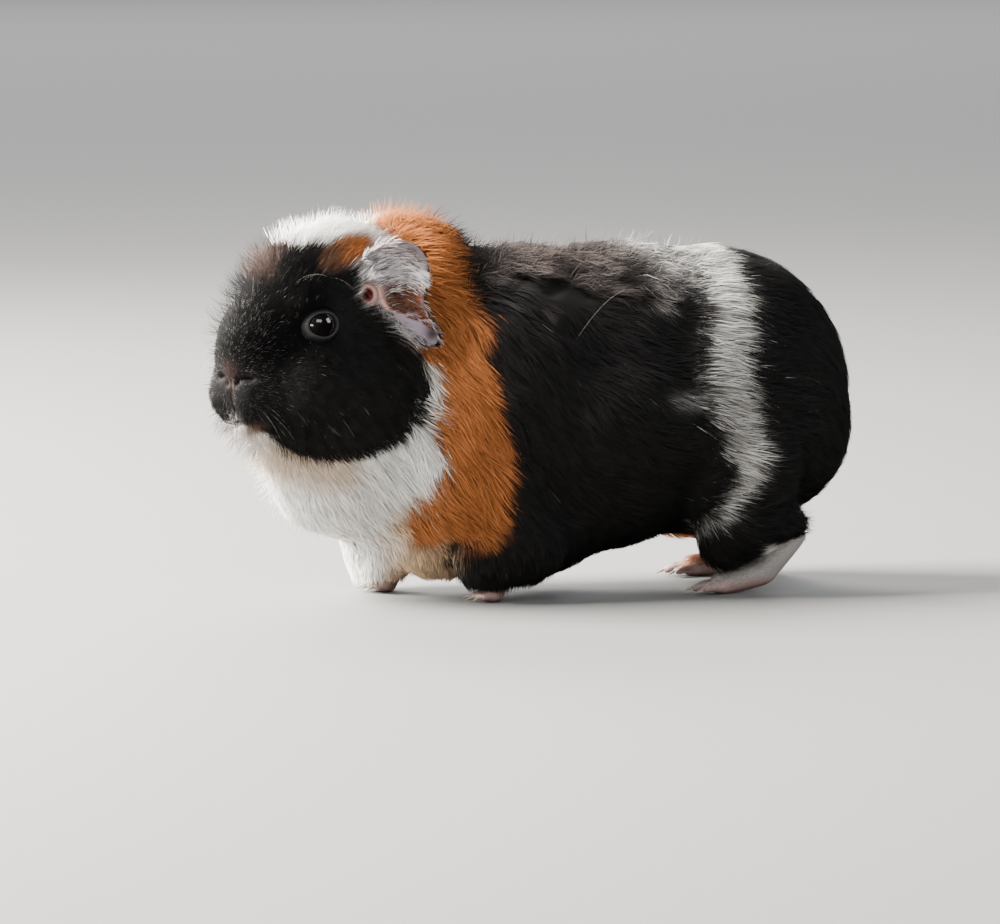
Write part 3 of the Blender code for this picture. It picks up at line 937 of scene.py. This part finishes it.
# A hair's faces over its points, which run round its root, round its bend and end at its tip, and those
# points laid flat.
BENT_FACES = np.array([
    (0, 2, 1), (0, 1, 4), (0, 4, 3), (1, 2, 5), (1, 5, 4), (2, 0, 3), (2, 3, 5), (3, 4, 6), (4, 5, 6),
    (5, 3, 6),
])
BENT_FLAT = np.array([(0, 0), (1, 0), (0.5, 0.15), (0.1, 0.55), (0.9, 0.55), (0.5, 0.6), (0.5, 1)])
STRAIGHT_FACES = np.array([(0, 2, 1), (0, 1, 3), (1, 2, 3), (2, 0, 3)])
STRAIGHT_FLAT = np.array([(0, 0), (1, 0), (0.5, 0.3), (0.5, 1)])
UV_PATCH = 0.003
BODY_RADIUS = 46  # the roundness that the hairs follow


def shown_places(points, normals, ways, length, share):
    """Where hairs that grow at these points show, at a share of their length."""
    return points + (ways * (length * share)[:, None] + normals * (length * 0.2)[:, None]) * MM


def coat_batch(skin, kinds, count, bent, width, density):
    """Hairs of the coat. density gives how thickly they grow at a place."""
    roots, normals, uvs = scattered(skin.data, kinds, count, density)
    ways = lie(roots, normals)
    ridge = dorsal(roots)
    chance = RNG.random(count)
    stray = RNG.random(count) < 0.2 * stray_share(roots)
    lock = 1 + 0.05 * noise(roots, 9, 21) + 0.04 * noise(roots, 4, 22)
    length = coat_length(roots) * lock * RNG.uniform(0.7, 1.08, count)
    lift = coat_lift(roots) * (1 + 0.1 * noise(roots, 11, 23)) + RNG.normal(0, 2.5, count)
    astray = RNG.normal(0, 3, count) * (RNG.random(count) < 0.04)
    spread = RNG.normal(0, 0.9, count) + astray
    shades = np.clip(1 + 0.1 * noise(roots, 6, 31) + RNG.normal(0, 0.11, count), 0.5, 1.5)
    at_root, tints, tips = [
        markings(shown_places(roots, normals, ways, length, share), spread) for share in (0.3, 0.5, 0.7)
    ]

    dark = tints.mean(1) < 0.03
    pale = ramp(roots[:, 0] / MM + 6 * noise(roots, 12, 52), 20, 44)
    patchy = 0.25 + 0.75 * ramp(noise(roots, 16, 51), -0.9, 0.6)
    # Frosted hairs along the back: pale tips further back, and in front brownish tips whose tinge is partly a
    # painted backlit glow.
    frost_and_glow = dark * ridge * patchy * chance ** (0.6 - 0.3 * pale)
    # Pale-tipped hairs in the black, most on the forehead and muzzle: partly real pale tips and partly
    # painted glints.
    fleck_and_glint = dark * (chance < 0.001 + 0.11 * on_face(roots)) * RNG.uniform(0.1, 1, count)
    tints = mixed(mixed(tints, FROST_UNDER, frost_and_glow), FLECK_AND_GLINT_UNDER, fleck_and_glint)
    tips = mixed(mixed(tips, mixed(FROST_AND_GLOW_TIPS, PALE_FROST_TIPS, pale), frost_and_glow), FLECK_AND_GLINT_TIPS, fleck_and_glint)

    mess = 8 + 16 * ridge + 8 * on_face(roots)
    thin = width * RNG.uniform(0.55, 1.1, count) * ramp(length, 0.5, 6.0) ** 0.4
    clump = np.clip(0.2 + 0.14 * noise(roots, 15, 41), 0.03, 0.6) * ramp(length, 2.5, 9)
    clump = clump * (1 + 0.8 * ridge) * (1 - stray)
    length = np.where(stray, RNG.uniform(7.5, 13.5, count), length)
    lift = np.where(stray, RNG.uniform(45, 100, count), lift)
    curl = np.where(stray, 0.88, CURL)
    shades = shades[:, None]
    colours = (under_coat(at_root) * shades, tints * shades, tips * (1.12 * shades))
    return hairs(bent, roots, normals, ways, length, lift, thin, colours, uvs, clump, mess, curl)


# The frosted back's hairs in their middle and at their tips, in front and further back, and pale flecks. The
# brown tinge of the frosted tips in front is partly a painted backlit glow, and the flecks' pale tips are
# partly painted glints.
FROST_UNDER = (0.05, 0.04, 0.037)
FROST_AND_GLOW_TIPS = (0.19, 0.15, 0.138)
PALE_FROST_TIPS = (0.4, 0.375, 0.365)
FLECK_AND_GLINT_UNDER = (0.085, 0.082, 0.08)
FLECK_AND_GLINT_TIPS = (0.24, 0.23, 0.225)


SHOWN_SHARE = 0.5  # the skin is coloured as the coat is at this share of its length


def on_ear(kinds, side):
    return kinds == KINDS.index("ear_left" if side < 0 else "ear_right")


def ear_batch(skin, kinds, count, side):
    """Fine pale hairs that fan over the outside of an ear, and short brown ones lower down and behind it."""

    def density(points, facing, kinds):
        across, up, _ = ear_plane(points, side)
        outward = (facing @ ear_facing(side)) > 0
        inside = ramp(ear_share(across, up), 1.0, 0.92)
        fan = ramp(up + 1.6 * noise(points, 5, 61) - 0.12 * across, -1, 6)
        shade = ramp(up + 0.42 * across, -4, -2) * ramp(across, 7, 10) * 0.5
        return on_ear(kinds, side) * np.where(outward, inside * np.maximum(fan, shade), 0.5)

    roots, normals, uvs = scattered(skin.data, kinds, count, density)
    across, up, _ = ear_plane(roots, side)
    outward = (normals @ ear_facing(side)) > 0
    ways = in_ear(np.stack([np.ones(count), 0.75 - 0.06 * across], 1), normals, side)
    high = outward & (up - 0.12 * across > RNG.normal(1.5, 2.2, count))
    room = np.maximum(2.4, (1.22 - ear_share(across, up)) * 23)
    length = np.minimum(np.where(high, 10, 3.2) * RNG.uniform(0.6, 1.15, count), room)
    lift = np.where(high, 16, 15) + RNG.normal(0, 6, count)
    brown = ~high | (RNG.random(count) < 0.3 * ramp(up, 6, 17) * ramp(across, 2, 8))
    tints = np.where(brown[:, None], (0.13, 0.05, 0.03), (0.5, 0.47, 0.485))
    shades = np.clip(RNG.normal(0.95, 0.32, count) + 0.35 * noise(roots, 1.6, 81), 0.2, 1.6)
    return hairs(True, roots, normals, ways, length, lift, 0.24, even_colours(tints, shades), uvs, 0.6, 14)


def ear_fringe(skin, kinds, count, side):
    """Loose hairs that hang over the lower front edge of an ear, from its opening to the lobe's tip."""

    def density(points, facing, kinds):
        across, up, _ = ear_plane(points, side)
        angle = np.degrees(np.arctan2(up, across))
        outward = (facing @ ear_facing(side)) > 0
        near = ramp(angle, EAR_FAN[1] + 11, EAR_FAN[1] + 2) * ramp(np.hypot(across, up), 4.5, 7)
        edge = ramp(ear_share(across, up), 0.93, 0.98) * ramp(angle, -5, -12)
        return on_ear(kinds, side) * outward * np.maximum(near, 0.5 * edge)

    roots, normals, uvs = scattered(skin.data, kinds, count, density)
    across, up, _ = ear_plane(roots, side)
    reach = np.hypot(across, up)
    ways = in_ear(np.stack([0.5 + 0.02 * reach, np.full(count, -0.8)], 1), normals, side)
    length = RNG.uniform(2.2, 4.6, count)
    lift = RNG.normal(24, 9, count)
    dark = RNG.random(count) < np.interp(reach, [6, 12, 22, 30], [0.55, 0.35, 0.2, 0.7])
    tints = np.where(dark[:, None], BLACK * 2, (0.44, 0.42, 0.42))
    shades = np.clip(RNG.normal(0.9, 0.3, count), 0.3, 1.5)
    return hairs(True, roots, normals, ways, length, lift, 0.19, even_colours(tints, shades), uvs, 0.3, 16)


def in_ear(flat_ways, normals, side):
    """Directions given along an ear's plane and up it, laid on its surface."""
    along, rise = unit(flat_ways).T
    local = np.stack([np.cos(EAR_FLARE) * along, side * np.sin(EAR_FLARE) * along, rise], 1)
    return along_surface(local @ HEAD_AXES, normals)


def ear_share(across, up):
    """How far out to the ear's edge a place lies, from 0 at the opening to 1 at the edge."""
    return np.hypot(across, up) / ear_reach(np.degrees(np.arctan2(up, across)))


def ear_plane(points, side):
    """Places in an ear's own plane, in millimetres: along it backwards, up it, and out from it."""
    back, right, up = to_head(points).T
    back = back - EAR_OPENING[0]
    out = right * side - EAR_OPENING[1]
    across = np.cos(EAR_FLARE) * back + np.sin(EAR_FLARE) * out
    rise = -np.sin(EAR_FLARE) * back + np.cos(EAR_FLARE) * out
    return across, up - EAR_OPENING[2], rise


def ear_facing(side):
    """The way that an ear's plane faces, out from the head."""
    local = np.array([-math.sin(EAR_FLARE), side * math.cos(EAR_FLARE), 0])
    return local @ HEAD_AXES


def foot_batch(skin, kinds, count):
    """Short hair on the backs of the feet, down to the toes."""

    def density(points, facing, kinds):
        z = points[:, 2] / MM
        foot = np.isin(kinds, [KINDS.index(name) for name in FEET])
        top = ramp(facing[:, 2], -0.35, 0.15) * ramp(z, 2.6, 4.2)
        return foot * top * np.where(points[:, 0] < 0, ramp(z, 5, 8), 1)

    roots, normals, uvs = scattered(skin.data, kinds, count, density)
    ways = along_surface(np.array([-0.9, 0, -0.35]), normals)
    length = 2.8 * RNG.uniform(0.7, 1.2, count)
    lift = np.clip(RNG.normal(14, 5, count), 4, 40)
    shades = np.clip(RNG.normal(1, 0.15, count), 0.5, 1.6)
    colours = even_colours(foot_colours(roots), shades)
    return hairs(False, roots, normals, ways, length, lift, 0.26, colours, uvs, 0.15)


def foot_colours(points):
    """The feet's colours: the near forefoot is black, the far hindfoot ginger towards its heel."""
    x, y, _ = points.T / MM
    near_fore = (x < 0) & (y < -10)
    far_hind = (x > 0) & (y > 0)
    colour = np.where(near_fore[:, None], BLACK * 2, WHITE * 0.72)
    return mixed(colour, GINGER, far_hind * ramp(x + noise(points, 8, 3), 68, 73))


def grow(name, batches, material):
    """One piece of the coat, joined from batches of hairs."""
    piece = mesh_object(name, *joined(batches))
    piece.data.materials.append(material)
    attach(piece, "root")
    return piece


def strand(root, way, bow, length, thick, shade):
    """One long tapering hair: its points, triangles and colours. Places are in millimetres."""
    root, way, bow = np.array([root, way, bow], float)
    across = unit(np.cross(way, [0.3, 0.2, 1.0]))
    over = unit(np.cross(way, across))
    points, colours = [], []
    for step in range(STRAND_STEPS):
        share = step / STRAND_STEPS
        centre = root + (way * share + bow * share * share) * length
        for corner in range(3):
            angle = 2 * math.pi * corner / 3
            radius = thick * (1 - share) + 0.02
            points.append(centre + (across * math.cos(angle) + over * math.sin(angle)) * radius)
            # Darker over the first third of the hair and pale beyond it, partly as a painted glint.
            colours.append(PALE_HAIR_AND_GLINT * shade * (0.3 + 0.7 * min(1, share * 3)))
    points.append(root + (way + bow) * length)
    colours.append(PALE_HAIR_AND_GLINT * shade)
    triangles = [(0, 2, 1)]
    last = 3 * (STRAND_STEPS - 1)
    for low in range(0, last, 3):
        for corner in range(3):
            first, beside = low + corner, low + (corner + 1) % 3
            triangles += [(first, beside, beside + 3), (first, beside + 3, first + 3)]
    triangles += [(last + corner, last + (corner + 1) % 3, last + 3) for corner in range(3)]
    return points, triangles, colours


def make_whiskers(skin):
    """Fine whiskers lying back from the pads and cheeks, brow hairs, and a loose hair on the flank."""
    rng = np.random.default_rng(8)
    tree = BVHTree.FromObject(skin, bpy.context.evaluated_depsgraph_get())
    parts = []

    def add(root, way, bow, length, shade, thick=0.055):
        """A whisker in the head's frame, from the place on the skin that is nearest to its root."""
        on_skin = tree.find_nearest(Vector(from_head(np.array(root, float))))[0]
        start = to_head(np.array([on_skin]))[0]
        points, triangles, colours = strand(start, unit(np.array(way)), bow, length, thick, shade)
        parts.append((from_head(points), triangles, colours))

    for side in (-1, 1):
        for row in range(5):
            for place in range(4):
                back = -26 + 2.6 * place + rng.normal(0, 0.5)
                root = (back, side * (13.5 + place), 90 - 3.6 * row + rng.normal(0, 0.6))
                way = (0.8, side * rng.uniform(0.25, 0.6), rng.uniform(-0.35, 0.25) - 0.22 * row)
                bow = (0.1, -0.3 * side, rng.uniform(-0.75, -0.2))
                # Two whiskers in five are pale, partly as painted glints along dark whiskers, and the rest
                # are dark.
                shade = rng.uniform(0.5, 0.95) if rng.random() < 0.4 else rng.uniform(0.05, 0.2)
                add(root, way, bow, rng.uniform(8, 17), shade, 0.06)
        for _ in range(4):
            root = (rng.uniform(-10, 4), side * 24, rng.uniform(72, 86))
            way = (0.6, side * 0.3, rng.uniform(-1.0, -0.6))
            add(root, way, (0.1, -0.2 * side, -0.2), rng.uniform(7, 11), rng.uniform(0.3, 0.8))
        for reach in (19, 15):
            root = (4.5 + rng.normal(0, 0.6), side * 20, 127 + rng.normal(0, 0.5))
            add(root, (-1.0, side * 0.15, 0.5), (0, -0.1 * side, -0.5), reach, 0.8)
            add(root, (0.8, side * 0.75, 0.1), (0.1, -0.2 * side, -0.7), reach * 0.7, 0.8)
    for height in (102, 97):
        add((-28, 6, height), (-0.75, 0.5, -0.25), (0.75, 0, -0.75), 14, 0.9)
    points, triangles, colours = strand(*LOOSE_HAIR)
    parts.append((np.array(points) * MM, triangles, colours))
    piece = mesh_object("whiskers", *joined(parts))
    piece.data.materials.append(FUR)
    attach(piece, "root")


# Pale hair colour, partly a painted glint along the whiskers.
PALE_HAIR_AND_GLINT = np.array([0.62, 0.6, 0.57])
# The loose hair: root, way, bow, length, thickness and shade, in the body's frame.
LOOSE_HAIR = ((31, -34.5, 119.5), (-0.95, -0.55, -0.1), (-0.15, 0, -0.75), 23, 0.055, 0.45)
STRAND_STEPS = 9


def coverage(region, side):
    """How thickly the coat grows over one side of the head, of the front of the body or of its rear."""

    def density(points, facing, kinds):
        x, y, z = points.T / MM
        back, right, _ = to_head(points).T
        grows = (kinds == KINDS.index("body")) * (1 - bareness(points))
        for ear in (-1, 1):
            across, up, _ = ear_plane(points, ear)
            grows = grows * (np.hypot(across - CANAL_PLACE[0], (up - CANAL_PLACE[1]) / 1.15) > 4.5)
        on_head = (back < 32) & (x < -36) & (z > 50)
        if region == "head":
            chosen = on_head * (right * side > 0) * (1.0 + 2.2 * ramp(back, 14, -18))
        elif region == "front":
            chosen = ~on_head & (x < BODY_MIDDLE) & (y * side > 0)
        else:
            chosen = (x >= BODY_MIDDLE) & (y * side > 0)
        return grows * (1 - near_eye(points)) * chosen

    return density


BODY_MIDDLE = -5  # X where the coat's front pieces end and its rear ones begin
# The coat's pieces: name, region, side, and batches of hairs with their number, whether bent, and width.
COAT_PIECES = [
    ("coat_head_left", "head", -1, [(19900, True, 0.35)]),
    ("coat_head_left_under", "head", -1, [(43000, False, 0.35)]),
    ("coat_head_right", "head", 1, [(7000, True, 0.47), (17500, False, 0.47)]),
    ("coat_front_left", "front", -1, [(11000, True, 0.42), (22000, False, 0.4)]),
    ("coat_front_right", "front", 1, [(7000, True, 0.55), (18500, False, 0.55)]),
    ("coat_rear_left", "rear", -1, [(9000, True, 0.44), (27000, False, 0.42)]),
    ("coat_rear_left_over", "rear", -1, [(8200, True, 0.4), (16500, False, 0.38)]),
    ("coat_rear_right", "rear", 1, [(7600, True, 0.61), (19000, False, 0.61)]),
]
EAR_HAIRS = {-1: 6500, 1: 2900}
FRINGE_HAIRS = 420
FOOT_HAIRS = 11000


def make_coat(skin, kinds):
    """All the pieces of the coat, and the hair of the ears and feet as one more."""
    thinning = 1
    for name, region, side, sizes in COAT_PIECES:
        density = coverage(region, side)
        batches = []
        for count, bent, width in sizes:
            batches.append(coat_batch(skin, kinds, count // thinning, bent, width, density))
        grow(name, batches, FUR)
    batches = [ear_batch(skin, kinds, count // thinning, side) for side, count in EAR_HAIRS.items()]
    batches += [ear_fringe(skin, kinds, FRINGE_HAIRS // thinning, side) for side in (-1, 1)]
    batches.append(foot_batch(skin, kinds, FOOT_HAIRS // thinning))
    grow("coat_ears_and_feet", batches, FUR)


KINDS = ["body", "lid", "canal", "ear_left", "ear_right"] + FEET


def near_eye(points):
    """1 on the bare skin round the eyes, which runs out to a corner in front and behind."""
    near = np.zeros(len(points))
    for eye in EYE_PLACES:
        _, ahead, upward = eye_frame(eye)
        offset = (points - eye) / MM
        along, over = offset @ ahead, offset @ upward
        gap = np.hypot((along + 1.0) / 7.0, (over + 0.1 * along) / 5.35)
        near = np.maximum(near, ramp(gap, 1.04, 0.96) * (np.linalg.norm(offset, axis=1) < 14))
    return near


def bareness(points):
    """1 on the naked skin of the nose, 0 where hair grows."""
    places = to_head(points)
    bare = ramp(nose_gap(places, PHILTRUM, 1), 1.5, 0.7) * ramp(places[:, 2], 74, 78)
    for side in (-1, 1):
        bare = np.maximum(bare, ramp(nose_gap(places, NOSTRIL, side), 2.0, 1.0))
    return bare


# ---------------------------------------------------------------- materials


def new_material(name, roughness):
    material = bpy.data.materials.new(name)
    material.use_nodes = True
    shader = material.node_tree.nodes["Principled BSDF"]
    shader.inputs["Roughness"].default_value = roughness
    return material, shader


def tinted_material(name, roughness, gloss):
    """A material that takes its colour from the mesh's own Tint."""
    material, shader = new_material(name, roughness)
    tint = material.node_tree.nodes.new("ShaderNodeVertexColor")
    tint.layer_name = "Tint"
    material.node_tree.links.new(tint.outputs["Color"], shader.inputs["Base Color"])
    shader.inputs["Specular IOR Level"].default_value = gloss
    return material


def plain_material(name, colour, roughness, coat=0.0):
    material, shader = new_material(name, roughness)
    shader.inputs["Base Color"].default_value = (*colour, 1)
    shader.inputs["Coat Weight"].default_value = coat
    return material


def unwrapped(obj):
    """Gives the skin an unwrap of its own shape, which the hairs' roots share."""
    obj.data.uv_layers.new(name="OFBake")
    bpy.ops.object.select_all(action="DESELECT")
    obj.select_set(True)
    bpy.context.view_layer.objects.active = obj
    bpy.ops.object.mode_set(mode="EDIT")
    bpy.ops.mesh.select_all(action="SELECT")
    bpy.ops.uv.smart_project(angle_limit=math.radians(66), island_margin=0.003)
    bpy.ops.object.mode_set(mode="OBJECT")


def make_eye(side):
    name = "eye_left" if side < 0 else "eye_right"
    bm = bmesh.new()
    bmesh.ops.create_uvsphere(bm, u_segments=48, v_segments=32, radius=EYE_RADIUS * MM)
    # Blender makes the faces in an order that varies from run to run, so they are put in order here.
    total = len(bm.verts)
    bm.verts.index_update()
    bm.faces.sort(key=lambda face: face.verts[0].index * total + face.verts[1].index)
    mesh = bpy.data.meshes.new("ball")
    bm.to_mesh(mesh)
    bm.free()
    mesh.shade_smooth()
    ball = new_object("ball_" + name[4:], mesh)
    ball.location = middle(name)
    ball.data.materials.append(EYE_MATERIAL)
    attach(ball, "root")
    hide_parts(name)


def body_colours(points, normals):
    """The skin's colours: those of the coat over it, darker as painted shade under the coat, and its own on
    the bare nose, with painted shade in the nostrils.
    """
    shown = shown_places(points, normals, lie(points, normals), coat_length(points), SHOWN_SHARE)
    colours = under_coat(markings(shown, np.zeros(len(points))))
    places = to_head(points)
    crease = nose_gap(places, PHILTRUM, 1)
    pink = ramp(crease, 1.7, 1.0) * ramp(crease, 0.2, 0.7)
    bare = mixed((0.018, 0.014, 0.014), (0.05, 0.03, 0.027), pink)
    for side in (-1, 1):
        # The nostrils are painted almost black, as shade inside them.
        depth = nose_gap(places, NOSTRIL, side)
        bare = mixed(bare, (0.004, 0.003, 0.003), ramp(depth, 0.9, 0.3))
    return mixed(colours, bare, bareness(points))


def canal_part(side):
    """The ear's opening: a small fleshy ring round a sunken hole."""
    places, colours = [], []
    for step in range(CANAL_STEPS):
        angle = 2 * math.pi * step / CANAL_STEPS
        swell = 0.5 * math.exp(-((((math.degrees(angle) - 60) + 180) % 360 - 180) / 60) ** 2)
        for radius, rise, colour in CANAL_PROFILE:
            radius = radius * 1.12
            across = CANAL_PLACE[0] + radius * math.cos(angle)
            up = CANAL_PLACE[1] + radius * 1.2 * math.sin(angle)
            places.append((across, up, CANAL_PLACE[2] + rise * (1 + swell * (radius > 2))))
            colours.append(colour)
    across, up, rise = np.array(places).T
    triangles = ring_faces(CANAL_STEPS, len(CANAL_PROFILE))[:, :: 1 if side < 0 else -1]
    return from_ear(across, up, rise, 0, side), triangles, np.array(colours)


def opened(points, colours):
    """Presses the skin in under each ear's opening, so that the canal stays hollow, and darkens it as painted
    shade deep in the hole.
    """
    for side in (-1, 1):
        across, up, rise = ear_plane(points, side)
        gap = np.hypot(across - CANAL_PLACE[0], (up - CANAL_PLACE[1]) / 1.2)
        near = ramp(gap, 4.4, 2.8) * (rise > -10)
        colours = mixed(colours, (0.05, 0.012, 0.012), near)
        points = points - ear_facing(side) * (near * CANAL_DEPTH * MM)[:, None]
    return points, colours


CANAL_DEPTH = 7
CANAL_STEPS = 40
CANAL_PLACE = (1.0, -0.8, 2.7)  # in the ear's plane: backwards, up and out
# The canal's section from its bottom out: radius, rise and colour. Its colours darken towards the bottom of
# the hole, partly the canal's own dark red skin and partly painted shade.
CANAL_PROFILE = [
    (0.05, -4.2, (0.07, 0.014, 0.014)), (1.0, -3.4, (0.11, 0.02, 0.02)), (1.5, -1.2, (0.22, 0.06, 0.055)),
    (1.9, 0.1, (0.38, 0.16, 0.14)), (2.4, 0.6, (0.50, 0.28, 0.245)), (3.0, 0.3, (0.42, 0.26, 0.245)),
    (3.8, -1.2, (0.26, 0.18, 0.18)), (4.6, -3.6, (0.15, 0.10, 0.10)), (4.0, -6.5, (0.1, 0.07, 0.07)),
    (0.05, -7.0, (0.1, 0.07, 0.07)),
]


def whole_skin():
    """The body, lids, ears and feet as one skin, with the kind of each of its triangles."""
    body = make_skin()
    lids = lid_parts(body)
    normals = normals_of(body.data)
    points, triangles = taken_apart(body)
    points, colours = opened(points, body_colours(points, normals))
    parts = [("body", points, triangles, colours)]
    for points, triangles in lids:
        parts.append(("lid", points, triangles, np.tile(LID_COLOURS, (LID_STEPS, 1))))
    for name, side in zip(EARS, (-1, 1)):
        parts.append((name, *ear_part(side)))
        parts.append(("canal", *canal_part(side)))
    for name in FEET:
        points, triangles = foot_part(name)
        hairy = ramp(points[:, 2] / MM, 4, 7)[:, None] * 0.8
        # Under the hair the foot's skin takes the hair's colour darkened, as painted shade.
        colours = foot_colours(points) * 0.6 * hairy + FOOT_COLOUR * (1 - hairy)
        parts.append((name, points, triangles, colours))
    kinds = np.concatenate([np.full(len(part[2]), KINDS.index(part[0])) for part in parts])
    skin = mesh_object("skin", *joined(part[1:] for part in parts))
    skin.data.materials.append(HIDE)
    skin.data.materials.append(BARE)
    bare = np.where(kinds == KINDS.index("body"), 0, 1).astype(np.int32)
    skin.data.polygons.foreach_set("material_index", bare)
    unwrapped(skin)
    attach(skin, "root")
    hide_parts(*FLESH, *EARS, *FEET)
    return skin, kinds


LID_COLOURS = np.outer([0.01, 0.014, 0.026, 0.028, 0.022, 0.016, 0.012, 0.010, 0.010, 0.010], [1, 0.97, 1.04])
FOOT_COLOUR = np.array([0.42, 0.27, 0.245])

make_camera()
make_stage()
FUR = tinted_material("fur", 0.65, 0.02)
HIDE = tinted_material("hide", 0.8, 0.1)
BARE = tinted_material("bare_skin", 0.45, 0.3)
EYE_MATERIAL = plain_material("eye_dark", (0.004, 0.0035, 0.0035), 0.1, 0.6)
CLAW_MATERIAL = plain_material("claw_horn", (0.42, 0.33, 0.27), 0.35)

skin, kinds = whole_skin()
for side in (-1, 1):
    make_eye(side)
make_coat(skin, kinds)
make_whiskers(skin)
for name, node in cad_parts.items():
    if name.startswith("claw"):
        node.data.materials.clear()
        node.data.materials.append(CLAW_MATERIAL)
